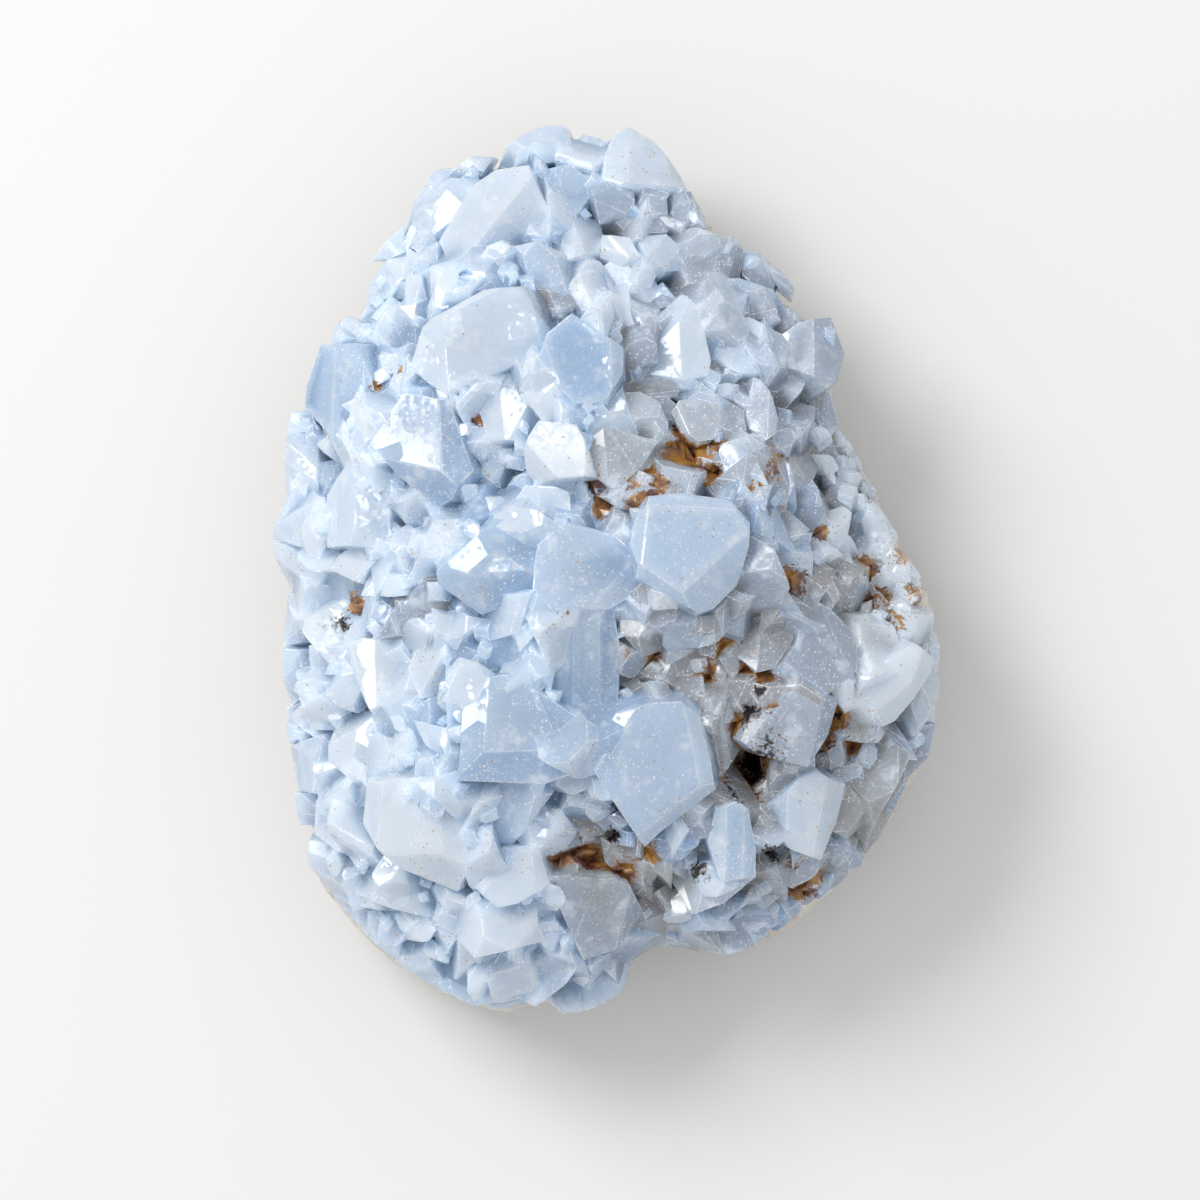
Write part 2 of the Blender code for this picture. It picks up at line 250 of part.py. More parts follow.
RIGHT_CRYSTALS = [
    ([(2, 9.8), (5, 9.3), (6.2, 12.6), (4.5, 13.2), (2, 10.8)], 0.5, (120, 12), []),
    ([(4.8, 13), (9.5, 11.3), (10.7, 13), (9, 15.7), (6, 15.7)], 1.0, (60, 14), []),
    ([(10.3, 13), (14.5, 12.8), (15, 16), (12.5, 15.9)], 0.5, (20, 14), []),
    ([(5.4, 9.4), (12, 9.4), (10.6, 11.6), (6.4, 12)], 0.0, (120, 12), []),
    ([(10.3, 12), (13, 12.7), (17, 11.5), (18.9, 7.5), (16.5, 6.3), (13, 8.8)], 1.5, (60, 12), []),
    ([(17, 4.3), (18.3, 6.2), (19.5, 7.7), (22, 7.2), (24.4, 5), (20.5, 2.6), (19, 2.8)], 3.0, (110, 8),
     [((23.6, 4.6), (17.8, 3.2), 40)]),
    ([(23.6, 8.5), (25.2, 8.2), (26.2, 6.5), (25.5, 4.8), (23.9, 6)], 2.0, (150, 15), []),
    ([(13.8, -5), (15, -2.1), (17.5, 4.2), (24.7, 4.7), (23.7, 1.5), (19, -2.6)], 2.0, (-45, 18),
     [((17.2, -3.6), (20.6, 4.6), 20)]),
    ([(14.3, -7.5), (20, -3.7), (22.5, -2.8), (22.2, -8.5), (20, -11.7), (18, -12.2), (14.3, -9)],
     1.5, (90, 10), [((17.8, -12), (18.6, -4.4), 22)]),
    ([(23.7, -2.8), (27, -4.6), (30.7, -8), (30.2, -12), (26, -15.2), (20.4, -12.1), (22.8, -8.5)],
     3.0, (60, 8), [((26.6, -15), (20.8, -10.8), 48), ((25.4, -3.4), (29.6, -13.4), 26)]),
    ([(22.6, 1), (25.6, 1.6), (27, -2), (24.5, -3.4), (22.4, -1.6)], 0.5, (0, 14), []),
    ([(25.6, 3.6), (29, 3.8), (30, 0), (27.6, -1)], 0.5, (60, 14), []),
    ([(27.8, -2), (29.5, -0.3), (31.7, -0.6), (33.2, -2.5), (30.5, -5.5), (27.4, -3.7)], 1.0, (-60, 10), []),
    ([(31, -6.2), (32.5, -5.1), (34.7, -6.3), (35.2, -8.5), (33.5, -11), (30.7, -8)], 1.5, (110, 10), []),
    ([(30.6, -13), (33, -11.3), (37, -8.6), (40.2, -10.8), (39.9, -12.5), (35.5, -18.2), (34, -18.8),
      (30.8, -15.5)], 4.5, (150, 9), [((38.4, -9), (34.6, -18.8), 42)]),
    ([(35.8, -6.8), (38.5, -7.3), (40.2, -9.5), (37.5, -9.7)], 0.5, (20, 14), []),
    ([(36.6, -15.3), (40.2, -13.6), (41.2, -15.5), (40.2, -18.3), (36, -18.3)], 0.5, (0, 14), []),
    ([(16, -20.5), (17.5, -17.3), (20.2, -16.5), (22, -13.8), (26, -14.8), (28, -15.7), (26.7, -20),
      (24, -23.7), (18, -22.2)],
     4.0, (90, 6), [((17, -20.4), (22.8, -13.8), 30), ((26.2, -14.6), (24.2, -23.6), 30)]),
    ([(28.3, -16.3), (31, -16.8), (32.2, -19.3), (31.5, -21.2), (29, -22)], 0.0, (-45, 18), []),
    ([(32, -18.8), (35.5, -18.8), (37.7, -23), (30, -22.6)], 1.5, (100, 10), []),
    ([(13.2, -12.6), (17, -12.8), (20, -13.4), (19.4, -16.4), (14.6, -17.4)], 0.0, (160, 10), []),
    ([(10.9, -16.4), (14, -17.6), (16.2, -20.6), (13.8, -22.6), (12.2, -21)], 0.0, (-30, 18), []),
    ([(31.8, -21.3), (36.2, -22), (35.7, -27.2), (32.3, -25.2)], 1.0, (60, 10), []),
    ([(36.4, -19), (40, -18.6), (39.2, -22.8), (37.4, -26), (36.2, -23)], 0.5, (0, 14), []),
    ([(12.2, -22.5), (15.4, -23.3), (14.4, -28.2), (12.3, -25.5)], -1.0, (160, 10), []),
    ([(18.3, -22.5), (24.2, -23.4), (22, -26), (18.6, -25.6)], 0.0, (-90, 12), []),
    ([(18.3, -25.5), (20.7, -26.2), (18.2, -29.4)], -0.5, (0, 12), []),
    ([(27, -20.6), (29.6, -21.6), (30.4, -26), (27.2, -25)], 0.5, (-60, 12), []),
    ([(34, -27), (37.4, -26.6), (35.6, -29.4), (33.4, -32), (32.6, -29)], 0.0, (-30, 16), []),
]

LOWER_CRYSTALS = [
    ([(-30.2, -31), (-29.6, -26), (-26, -25), (-22, -24.8), (-16.5, -30.2), (-16.5, -33), (-18, -36.7),
      (-19.5, -39.2), (-25.5, -36.2), (-28, -33.7)], 5.0, (140, 6),
     [((-17, -33.8), (-27, -34.4), 36), ((-20.8, -25.2), (-19.6, -38.8), 26),
      ((-28, -33), (-27.2, -25.2), 34)]),
    ([(-28.7, -38), (-26.5, -35.8), (-24.8, -37.5), (-27, -41.7), (-30.2, -40.5)], 0.5, (-90, 14), []),
    ([(-25.7, -40), (-23, -38.8), (-20, -42), (-22, -45), (-25.2, -45.5)], 1.5, (120, 12), []),
    ([(-31.5, -42), (-28, -41.3), (-25.8, -44), (-26.5, -47.8), (-31, -44.6)], 1.0, (170, 12), []),
    ([(-16.7, -30.5), (-14.7, -28.3), (-11.8, -29.3), (-11.8, -32.7), (-14.5, -33.7), (-16.7, -34)],
     1.0, (100, 10), []),
    ([(-17.2, -35.3), (-13, -33.4), (-8.7, -33.3), (-7.4, -38), (-11, -40.2), (-13.5, -40.7),
      (-16.2, -38.5)],
     4.0, (110, 8), [((-15.4, -39.4), (-14.4, -34), 35), ((-9.4, -33.2), (-9, -39.2), 35)]),
    ([(-6.7, -38), (-4, -37.4), (0.5, -37.1), (2.5, -38), (4.5, -42), (1.5, -45.7), (-3, -47.2),
      (-4.2, -44.7)],
     4.0, (-50, 7), [((-4.6, -45.4), (-1.2, -37), 24), ((2.8, -38.4), (0.6, -46.4), 30)]),
    ([(-10.5, -40), (-6.5, -38.8), (-3.8, -44.6), (-7, -46), (-11.2, -45.5)], 2.0, (150, 12), []),
    ([(-11.4, -46.3), (-6, -44.8), (-3.2, -47.3), (-5.2, -50.2), (-9, -53.2), (-12.2, -52)],
     3.0, (120, 10), [((-8, -53), (-7.4, -45), 24)]),
    ([(-3.2, -47.3), (0, -46.1), (2.7, -48.2), (1.4, -52), (-2, -53.4), (-4.7, -54.9), (-6.2, -52)],
     1.5, (100, 6), [((-1.6, -53.6), (-0.6, -46.2), 24)]),
    ([(4, -37.5), (5.3, -36.6), (6.4, -37.5), (7.3, -47), (2.6, -46.9)], 1.5, (30, 12), []),
    ([(6.3, -40.8), (9.7, -40.8), (10.7, -47), (7.2, -47)], 0.0, (-60, 12), []),
    ([(-8.5, -28.3), (-6.5, -25.8), (-3, -24.8), (-0.8, -26.5), (0, -32), (-6, -32.2)], 1.0, (-30, 12),
     [((-4.2, -32.2), (-4.6, -25.2), 22)]),
    ([(1, -35.5), (4, -33.3), (5.7, -35), (3.5, -38.2), (0.5, -37.2)], 0.5, (120, 12), []),
    ([(8.7, -31.5), (12.7, -30.5), (11.7, -34.7), (8.8, -33.5)], -1.0, (-45, 26), []),
    ([(13.1, -28.8), (15.5, -27.7), (16.9, -28.8), (18, -34), (17.8, -37), (13.5, -37.5), (12.1, -33)],
     5.5, (150, 8), [((16.4, -27.8), (16.2, -37.4), 35), ((13.9, -37), (14.2, -28), 20)]),
    ([(12.1, -33), (17.8, -34), (17.8, -37), (14, -40.2), (10, -41.7), (7.8, -38), (10, -34.8)],
     3.5, (130, 10), [((10.6, -41.4), (13.4, -33), 20)]),
    ([(7.8, -42), (12, -41.3), (13.9, -46.8), (10, -46.6)], 2.0, (100, 10), []),
    ([(13.5, -43.2), (18.5, -41.3), (18.7, -45.4), (14, -47)], 1.5, (80, 10), []),
    ([(11.6, -41), (12.5, -39.8), (17, -40.3), (13.8, -43.3)], 2.5, (90, 12), []),
    ([(17.8, -35.6), (19.7, -35.3), (21.7, -39), (19, -41.2), (17.3, -40)], 1.0, (60, 10), []),
    ([(19.8, -28.5), (23, -25.1), (25.5, -24.3), (29.2, -26.5), (28.2, -30.5), (26, -35.2), (22, -33.7),
      (19.8, -31)], 4.5, (150, 6), [((26.6, -24.4), (24.6, -35), 36), ((21.4, -33), (21.6, -25.4), 26)]),
    ([(24.6, -37.3), (26.4, -33.4), (30.2, -35.3), (26.7, -40), (24.6, -40)], 0.5, (-30, 14), []),
    ([(5.8, -31.8), (8.6, -30.6), (9, -33.8), (6.4, -36.4), (5, -34)], -0.5, (-60, 14), []),
    ([(4.6, -36), (8.8, -34.4), (8.4, -37.6), (6.4, -40.4), (5.6, -38)], 0.0, (60, 12), []),
    ([(-20.2, -41.5), (-15.5, -39.8), (-12, -41.3), (-11.8, -46), (-16, -47.7), (-20.7, -45)],
     2.5, (150, 9), [((-15.6, -47.6), (-16.4, -40), 24)]),
    ([(-21.7, -45.5), (-17, -47.3), (-13, -47.3), (-12.3, -52.7), (-17, -53.5), (-21, -51.4)],
     1.0, (170, 9), [((-16.2, -53.4), (-16.8, -47), 22)]),
    ([(-26.2, -46), (-22.5, -45.3), (-21, -50), (-22.6, -51.2), (-26.6, -48.4)], 0.5, (170, 10), []),
    ([(-14.7, -25.8), (-8.8, -25.8), (-8.3, -29), (-11.8, -29.2), (-14.4, -28)], 0.5, (-90, 10), []),
    ([(-11.7, -29.8), (-9, -28.8), (-6.3, -32.5), (-9, -33.3), (-11.9, -32.7)], 0.0, (120, 12), []),
    ([(-20.4, -38.8), (-16.8, -37.8), (-15.4, -39.8), (-20.4, -41.6)], 0.5, (-60, 12), []),
    ([(-8.6, -32.8), (-2, -32.6), (0, -35.6), (-4, -37.4), (-8, -36)], -1.5, (-90, 8), []),
]

CRYSTALS = (
    CROWN_CRYSTALS + UPPER_RIGHT_CRYSTALS + LEFT_CRYSTALS + MIDDLE_CRYSTALS + RIGHT_CRYSTALS + LOWER_CRYSTALS
)
SMALL_CRYSTALS = 32  # how many small ones fill the spaces between those above
FACETS = 2  # the least number of facets that break a crystal's top
SPLAY = 1.2  # a crystal's root is this much wider than its top

# The rock's belly, from the ground flat up to the girth: share of the girth, height, roughness
BELLY = [
    (FLAT_SHARE, 0.0, 0.0), (0.74, 0.9, 0.35), (0.88, 3.2, 0.55), (0.965, 6.2, 0.5),
    (1.0, GIRTH_HEIGHT, 0.45),
]
TOP_SHARES = (0.93, 0.84, 0.73, 0.6, 0.42, 0.22)  # rings over the rock's top
TOP_ROUGHNESS = 0.55
FLOOR_SHARES = (0.9, 0.72, 0.5, 0.25)  # rings over the crust floor


def outline_curve(steps=8):
    """The outline as bearings and distances from MIDDLE, on a smooth closed curve through its points."""
    points = [Vector(point) - MIDDLE for point in OUTLINE]
    count = len(points)
    samples = []
    for i in range(count):
        a, b, c, d = (points[(i + k) % count] for k in (-1, 0, 1, 2))
        for step in range(steps):
            t = step / steps
            even = 2 * b + (2 * a - 5 * b + 4 * c - d) * t**2
            odd = (c - a) * t + (3 * b - a - 3 * c + d) * t**3
            point = 0.5 * (even + odd)
            samples.append((math.atan2(point.y, point.x), point.length))
    samples.sort()
    return np.array(samples).T


BEARINGS, DISTANCES = outline_curve()


def within(bearing, stretches):
    """1 inside the stretches of the rim, 0 outside, with a short ramp between."""
    degrees = math.degrees(bearing)
    near = max(min(degrees - low, high - degrees) for low, high in stretches)
    return min(1.0, max(0.0, 0.5 + near / RAMP))


def girth(bearing):
    """How far the rock reaches from MIDDLE."""
    far = float(np.interp(bearing, BEARINGS, DISTANCES, period=2 * math.pi))
    return far - SET_BACK * (1 - within(bearing, BARE_BEARINGS))


def bearing_of(x, y):
    return math.atan2(y - MIDDLE.y, x - MIDDLE.x)


def share(x, y):
    """How far out a place is: 0 at the middle, 1 at the girth."""
    return math.hypot(x - MIDDLE.x, y - MIDDLE.y) / girth(bearing_of(x, y))


def dome(x, y, rim, crown, power):
    """A height that falls from crown at the middle to rim at the girth, the slower the higher power is."""
    return rim + (crown - rim) * max(0.0, 1 - share(x, y) ** power)


def rock_lumps(x, y):
    return sum(
        height * math.exp(-((x - place[0]) ** 2 + (y - place[1]) ** 2) / radius**2)
        for place, radius, height in ROCK_LUMPS
    )


def rock_top(x, y):
    return dome(x, y, RIM_HEIGHT, ROCK_CROWN, 2) + rock_lumps(x, y)


def crust_top(x, y):
    """The mean height of the crystals' tops."""
    return dome(x, y, CRUST_RIM, CRUST_CROWN, 2.3)


def crust_floor(x, y):
    """The solid crystal's top, which gives way where the rock stands up."""
    at_rim = CRUST_FLOOR_AT_RIM + GROUND_FLOOR * within(bearing_of(x, y), GROUND_BEARINGS)
    thickness = dome(x, y, at_rim, CRUST_FLOOR, 4)
    return dome(x, y, RIM_HEIGHT, ROCK_CROWN, 2) + thickness - rock_lumps(x, y)


def outward(x, y, amount):
    """The direction square to the crust there, with its slope taken by this amount."""
    step = 1.0
    slope_x = (crust_top(x + step, y) - crust_top(x - step, y)) / (2 * step)
    slope_y = (crust_top(x, y + step) - crust_top(x, y - step)) / (2 * step)
    return Vector((-slope_x * amount, -slope_y * amount, 1.0)).normalized()


def add_object(name, bm, material=None):
    """The mesh, given in millimetres, as an object in metres."""
    bmesh.ops.scale(bm, vec=(MM, MM, MM), verts=bm.verts)
    bmesh.ops.recalc_face_normals(bm, faces=bm.faces)
    mesh = bpy.data.meshes.new(name)
    bm.to_mesh(mesh)
    bm.free()
    if material:
        mesh.materials.append(material)
    obj = bpy.data.objects.new(name, mesh)
    bpy.context.scene.collection.objects.link(obj)
    return obj


def stack_rings(rings, crown=None):
    """A closed mesh through rings of points, bottom to top: flat below, and closed above to a crown
    point or, without one, by one flat face."""
    bm = bmesh.new()
    loops = [[bm.verts.new(point) for point in points] for points in rings]
    count = len(loops[0])
    for lower, upper in zip(loops, loops[1:]):
        for i in range(count):
            j = (i + 1) % count
            bm.faces.new((lower[i], lower[j], upper[j], upper[i]))
    bm.faces.new(loops[0])
    if crown is None:
        bm.faces.new(loops[-1])
        return bm
    tip = bm.verts.new(crown)
    for i in range(count):
        bm.faces.new((loops[-1][i], loops[-1][(i + 1) % count], tip))
    return bm


def round_the_stone(distance_at, height_at, count=SEGMENTS):
    """A ring of points: how far from MIDDLE each is by its bearing, and how high by its place."""
    points = []
    for i in range(count):
        bearing = -math.pi + 2 * math.pi * i / count
        far = distance_at(bearing)
        x = MIDDLE.x + far * math.cos(bearing)
        y = MIDDLE.y + far * math.sin(bearing)
        points.append(Vector((x, y, height_at(x, y))))
    return points


def level(height):
    return lambda x, y: height


def rough_ring(reach, height_at, roughness, rng):
    """A ring at a share of the girth, uneven but where the rim is ground smooth."""
    def uneven(bearing):
        return rng.uniform(-roughness, roughness) * (1 - within(bearing, GROUND_BEARINGS))
    return round_the_stone(
        lambda bearing: girth(bearing) * reach + uneven(bearing),
        lambda x, y: height_at(x, y) + uneven(bearing_of(x, y)),
    )


def rock_top_rings(lift):
    """The rock's uneven top, raised by lift. The seed makes it the same each time."""
    rng = random.Random(SEED + 1)
    return [
        rough_ring(reach, lambda x, y: rock_top(x, y) + lift, TOP_ROUGHNESS, rng) for reach in TOP_SHARES
    ]


def rock_crown(lift):
    return MIDDLE.x, MIDDLE.y, rock_top(MIDDLE.x, MIDDLE.y) + lift


def make_rock(material):
    """A flat to rest on, a rough round belly, the side wall and the domed top."""
    rng = random.Random(SEED)
    belly = [rough_ring(reach, level(height), roughness, rng) for reach, height, roughness in BELLY]
    wall_top = round_the_stone(lambda bearing: girth(bearing) - WALL_SLOPE, level(RIM_HEIGHT))
    bm = stack_rings(belly + [wall_top] + rock_top_rings(0.0), rock_crown(0.0))
    bmesh.ops.triangulate(bm, faces=bm.faces, quad_method="FIXED")
    return add_object("matrix", bm, material)


def make_bed():
    """The cutter that fits the crystals to the rock: its top raised by the gap, spread past the rim."""
    ledge = RIM_HEIGHT + GAP
    spread = [
        round_the_stone(lambda bearing: girth(bearing) + OVERHANG * 3, level(-GAP)),
        round_the_stone(lambda bearing: girth(bearing) + OVERHANG * 3, level(ledge)),
        round_the_stone(girth, level(ledge)),
    ]
    bm = stack_rings(spread + rock_top_rings(GAP), rock_crown(GAP))
    bmesh.ops.triangulate(bm, faces=bm.faces, quad_method="FIXED")
    return add_object("bed cutter", bm)


def make_ground_edge():
    """The prism that keeps the crystals inside the ground rim, and lets them overhang elsewhere."""
    def distance_at(bearing):
        return girth(bearing) - WALL_SLOPE * 0.7 + (1 - within(bearing, GROUND_BEARINGS)) * OVERHANG
    edges = [round_the_stone(distance_at, level(height), SEGMENTS * 2) for height in (0.0, CRUST_CROWN * 2)]
    return add_object("rim cutter", stack_rings(edges))


def make_crust_floor():
    """The solid crystal that all the points grow from. It stops short of bare rock at the rim."""
    def edge(bearing):
        bare = within(bearing, BARE_BEARINGS) - within(bearing, GROUND_BEARINGS)
        return girth(bearing) * (0.985 - 0.09 * bare)
    rim = [round_the_stone(edge, level(RIM_HEIGHT * 0.6)), round_the_stone(edge, crust_floor)]
    top = [
        round_the_stone(lambda bearing, reach=reach: girth(bearing) * reach, crust_floor)
        for reach in FLOOR_SHARES
    ]
    crown = (MIDDLE.x, MIDDLE.y, crust_floor(MIDDLE.x, MIDDLE.y))
    return add_object("crystals", stack_rings(rim + top, crown))


def centre_of(outline):
    return sum((Vector(point) for point in outline), Vector((0.0, 0.0))) / len(outline)


def more_facets(outline, count, rng):
    """Facets for a crystal that has too few drawn ones, spread round its top."""
    centre = centre_of(outline)
    radius = sum((Vector(point) - centre).length for point in outline) / len(outline)
    first = rng.uniform(0, 360)
    for i in range(count):
        bearing = math.radians(first + 360 * i / count + rng.uniform(-25, 25))
        out = Vector((math.cos(bearing), math.sin(bearing)))
        start = centre + out * radius * rng.uniform(0.15, 0.5)
        yield start, start + Vector((out.y, -out.x)), rng.uniform(28, 48)


def cut(bm, point, normal):
    """Takes away what stands in front of the plane and closes the face."""
    geometry = bm.verts[:] + bm.edges[:] + bm.faces[:]
    bmesh.ops.bisect_plane(bm, geom=geometry, dist=1e-5, plane_co=point, plane_no=normal, clear_outer=True)
    open_edges = [edge for edge in bm.edges if edge.is_boundary]
    if open_edges:
        bmesh.ops.contextual_create(bm, geom=open_edges)


def crystal(outline, lift, lean, facets):
    """One crystal: sides that spread from the outline of its top down into the crust floor, and a
    leaning top face broken by facets."""
    x, y = centre_of(outline)
    bearing, angle = math.radians(lean[0]), math.radians(lean[1] * TILT)
    lean_to = Vector((math.cos(bearing), math.sin(bearing), 0)) * math.tan(angle)
    top = (outward(x, y, 0.55) + lean_to).normalized()
    height = crust_top(x, y) + lift * RELIEF

    def on_top(point):
        return Vector((*point, height - (top.x * (point[0] - x) + top.y * (point[1] - y)) / top.z))

    root = outward(x, y, 0.8)
    depth = (height - crust_floor(x, y) + 1.0) / root.z
    upper = [on_top(point) for point in outline]
    middle = sum(upper, Vector()) / len(upper)
    lower = [middle + (point - middle) * SPLAY - root * depth for point in upper]
    bm = stack_rings([lower, upper])
    bmesh.ops.recalc_face_normals(bm, faces=bm.faces)
    for start, end, steepness in facets:
        left = top.cross((on_top(end) - on_top(start)).normalized())
        tilt = math.radians(steepness)
        cut(bm, on_top(start), top * math.cos(tilt) + left * math.sin(tilt))
    return bm


def regular_outline(centre, radius, sides, turn, stretch):
    """A polygon drawn out along one direction."""
    rotation = Matrix.Rotation(turn, 2)
    bearings = [2 * math.pi * i / sides for i in range(sides)]
    spokes = [Vector((math.cos(bearing) * stretch, math.sin(bearing))) for bearing in bearings]
    return [tuple(Vector(centre) + rotation @ spoke * radius) for spoke in spokes]


def inside(point, outline):
    x, y = point
    hit = False
    for (ax, ay), (bx, by) in zip(outline, outline[1:] + outline[:1]):
        if (ay > y) != (by > y) and x < (bx - ax) * (y - ay) / (by - ay) + ax:
            hit = not hit
    return hit


def is_open(point, radius, taken):
    """Whether a small crystal fits there: in no pit, on no bare rock and clear of the others."""
    in_pit = any(math.dist(point, place) < wide + radius * 0.6 for place, wide in PITS)
    on_rock = any(math.dist(point, place) < wide * 0.9 for place, wide, height in ROCK_LUMPS)
    in_drawn = any(inside(point, entry[0]) for entry in CRYSTALS)
    in_small = any(math.dist(point, place) < 1.1 * (radius + size) for place, size in taken)
    return share(*point) < 0.95 and not (in_pit or on_rock or in_drawn or in_small)


def small_crystals():
    """Small blocky crystals in the spaces that the drawn ones leave."""
    rng = random.Random(SEED)
    taken = []
    while len(taken) < SMALL_CRYSTALS:
        point, radius = (rng.uniform(-41, 41), rng.uniform(-55, 55)), rng.uniform(1.2, 2.1)
        if is_open(point, radius, taken):
            taken.append((point, radius))
    for point, radius in taken:
        turn, stretch = rng.uniform(0, math.pi), rng.uniform(1.0, 1.4)
        outline = regular_outline(point, radius, rng.choice((4, 5, 6)), turn, stretch)
        yield outline, rng.uniform(-2.5, -0.5), (rng.uniform(0, 360), rng.uniform(5, 25)), []


def crystals_to_join():
    """All the crystals, each a closed mesh of its own, in one collection for a Boolean to join."""
    collection = bpy.data.collections.new("crystals to join")
    bpy.context.scene.collection.children.link(collection)
    rng = random.Random(SEED + 2)
    for outline, lift, lean, facets in CRYSTALS + list(small_crystals()):
        missing = max(0, FACETS - len(facets))
        shape = crystal(outline, lift, lean, facets + list(more_facets(outline, missing, rng)))
        obj = add_object("crystal to join", shape)
        bpy.context.scene.collection.objects.unlink(obj)
        collection.objects.link(obj)
    return collection


def boolean(obj, operation, cutter=None, collection=None):
    """Applied at once. MANIFOLD, because EXACT leaves open edges where so many crystals meet."""
    modifier = obj.modifiers.new("cut", "BOOLEAN")
    modifier.solver = "MANIFOLD"
    modifier.operation = operation
    if collection:
        modifier.operand_type = "COLLECTION"
        modifier.collection = collection
    else:
        modifier.object = cutter
    bpy.context.view_layer.objects.active = obj
    bpy.ops.object.modifier_apply(modifier=modifier.name)
    for used in list(collection.objects) if collection else [cutter]:
        bpy.data.objects.remove(used)


def keep_largest_body(obj):
    """Drops the crumbs that a cut leaves loose, and the spaces that crystals close off between them."""
    bm = bmesh.new()
    bm.from_mesh(obj.data)
    unseen = set(bm.verts)
    bodies = []
    while unseen:
        body, waiting = set(), [unseen.pop()]
        while waiting:
            vert = waiting.pop()
            body.add(vert)
            near = {edge.other_vert(vert) for edge in vert.link_edges} & unseen
            unseen -= near
            waiting.extend(near)
        bodies.append(body)
    for body in sorted(bodies, key=len)[:-1]:
        bmesh.ops.delete(bm, geom=list(body), context="VERTS")
    bm.to_mesh(obj.data)
    bm.free()


def make_crystals(material):
    """One crust: the floor and every crystal in one solid, ground at the rim and fitted to the rock."""
    crust = make_crust_floor()
    boolean(crust, "UNION", collection=crystals_to_join())
    boolean(crust, "INTERSECT", make_ground_edge())
    boolean(crust, "DIFFERENCE", make_bed())
    keep_largest_body(crust)
    crust.data.materials.clear()
    crust.data.materials.append(material)
    return crust


def rest_at_origin(objects):
    """Moves the meshes so that the origin is the middle of their box, at its bottom."""
    points = [vert.co for obj in objects for vert in obj.data.vertices]
    low = Vector(min(point[axis] for point in points) for axis in range(3))
    high = Vector(max(point[axis] for point in points) for axis in range(3))
    middle = (low + high) / 2
    for obj in objects:
        obj.data.transform(Matrix.Translation((-middle.x, -middle.y, -low.z)))


def make_material(name, colour, roughness):
    material = bpy.data.materials.new(name)
    material.use_nodes = True
    shader = material.node_tree.nodes["Principled BSDF"]
    shader.inputs["Base Color"].default_value = (*colour, 1.0)
    shader.inputs["Roughness"].default_value = roughness
    shader.inputs["Metallic"].default_value = 0.0
    return material


def main():
    for obj in list(bpy.data.objects):
        bpy.data.objects.remove(obj)
    rock = make_rock(make_material("matrix", (0.62, 0.58, 0.5), 0.85))
    crust = make_crystals(make_material("celestite", (0.5, 0.62, 0.76), 0.25))
    rest_at_origin([rock, crust])


main()
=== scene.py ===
# %% [markdown]
# # Rough celestite
# A hand-sized piece of geode lining. Pale blue celestite crystals, blocky and grown into each other,
# cover a crust of rough limestone. Two stretches of the rim are ground smooth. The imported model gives
# the shape and place of the stone, and this file gives it the finer crystals and the finish.

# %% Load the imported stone
import json
import math
import random

import bmesh
import bpy
import numpy as np
from mathutils import Matrix, Quaternion, Vector
from mathutils.bvhtree import BVHTree
from mathutils.geometry import area_tri, tessellate_polygon

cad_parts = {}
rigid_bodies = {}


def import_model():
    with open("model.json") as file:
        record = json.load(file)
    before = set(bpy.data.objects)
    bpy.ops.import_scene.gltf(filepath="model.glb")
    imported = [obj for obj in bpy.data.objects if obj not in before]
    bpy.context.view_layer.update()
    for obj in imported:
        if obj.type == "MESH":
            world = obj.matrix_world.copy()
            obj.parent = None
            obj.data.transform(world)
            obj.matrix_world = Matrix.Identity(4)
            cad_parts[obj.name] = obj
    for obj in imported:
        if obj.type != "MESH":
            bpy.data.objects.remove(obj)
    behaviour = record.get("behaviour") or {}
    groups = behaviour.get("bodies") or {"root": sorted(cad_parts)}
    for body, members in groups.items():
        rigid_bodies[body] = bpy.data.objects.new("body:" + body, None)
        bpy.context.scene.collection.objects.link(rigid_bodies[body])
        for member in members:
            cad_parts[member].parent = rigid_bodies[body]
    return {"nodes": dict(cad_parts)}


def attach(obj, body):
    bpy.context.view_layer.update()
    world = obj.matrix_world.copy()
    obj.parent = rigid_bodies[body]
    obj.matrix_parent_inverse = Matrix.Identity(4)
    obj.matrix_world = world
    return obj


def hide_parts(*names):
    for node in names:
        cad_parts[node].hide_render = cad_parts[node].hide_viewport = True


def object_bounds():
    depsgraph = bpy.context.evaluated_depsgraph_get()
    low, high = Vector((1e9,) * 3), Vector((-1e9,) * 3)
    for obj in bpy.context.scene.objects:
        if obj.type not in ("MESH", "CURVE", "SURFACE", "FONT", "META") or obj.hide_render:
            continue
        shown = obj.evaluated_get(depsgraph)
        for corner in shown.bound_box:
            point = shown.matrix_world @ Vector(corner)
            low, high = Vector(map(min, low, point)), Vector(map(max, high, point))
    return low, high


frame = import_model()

MM = 0.001
packed_box = [list(corner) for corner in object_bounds()]
print("packed size in mm:", [round((high - low) / MM, 1) for low, high in zip(*packed_box)])

# %% [markdown]
# ## Crystals
# The stone carries about two hundred crystals that can be told apart and many hundreds of small ones,
# which started later and filled the gaps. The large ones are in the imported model. We start from a
# copy of it with its loose triangles merged, and dissolve the edges inside flat faces, so that each
# crystal face is one face again.


# %% Selecting
def select_only(*objects):
    """Nothing else stays selected, because an operator acts on all that is."""
    bpy.ops.object.select_all(action="DESELECT")
    for obj in objects:
        obj.select_set(True)
    bpy.context.view_layer.objects.active = objects[0]


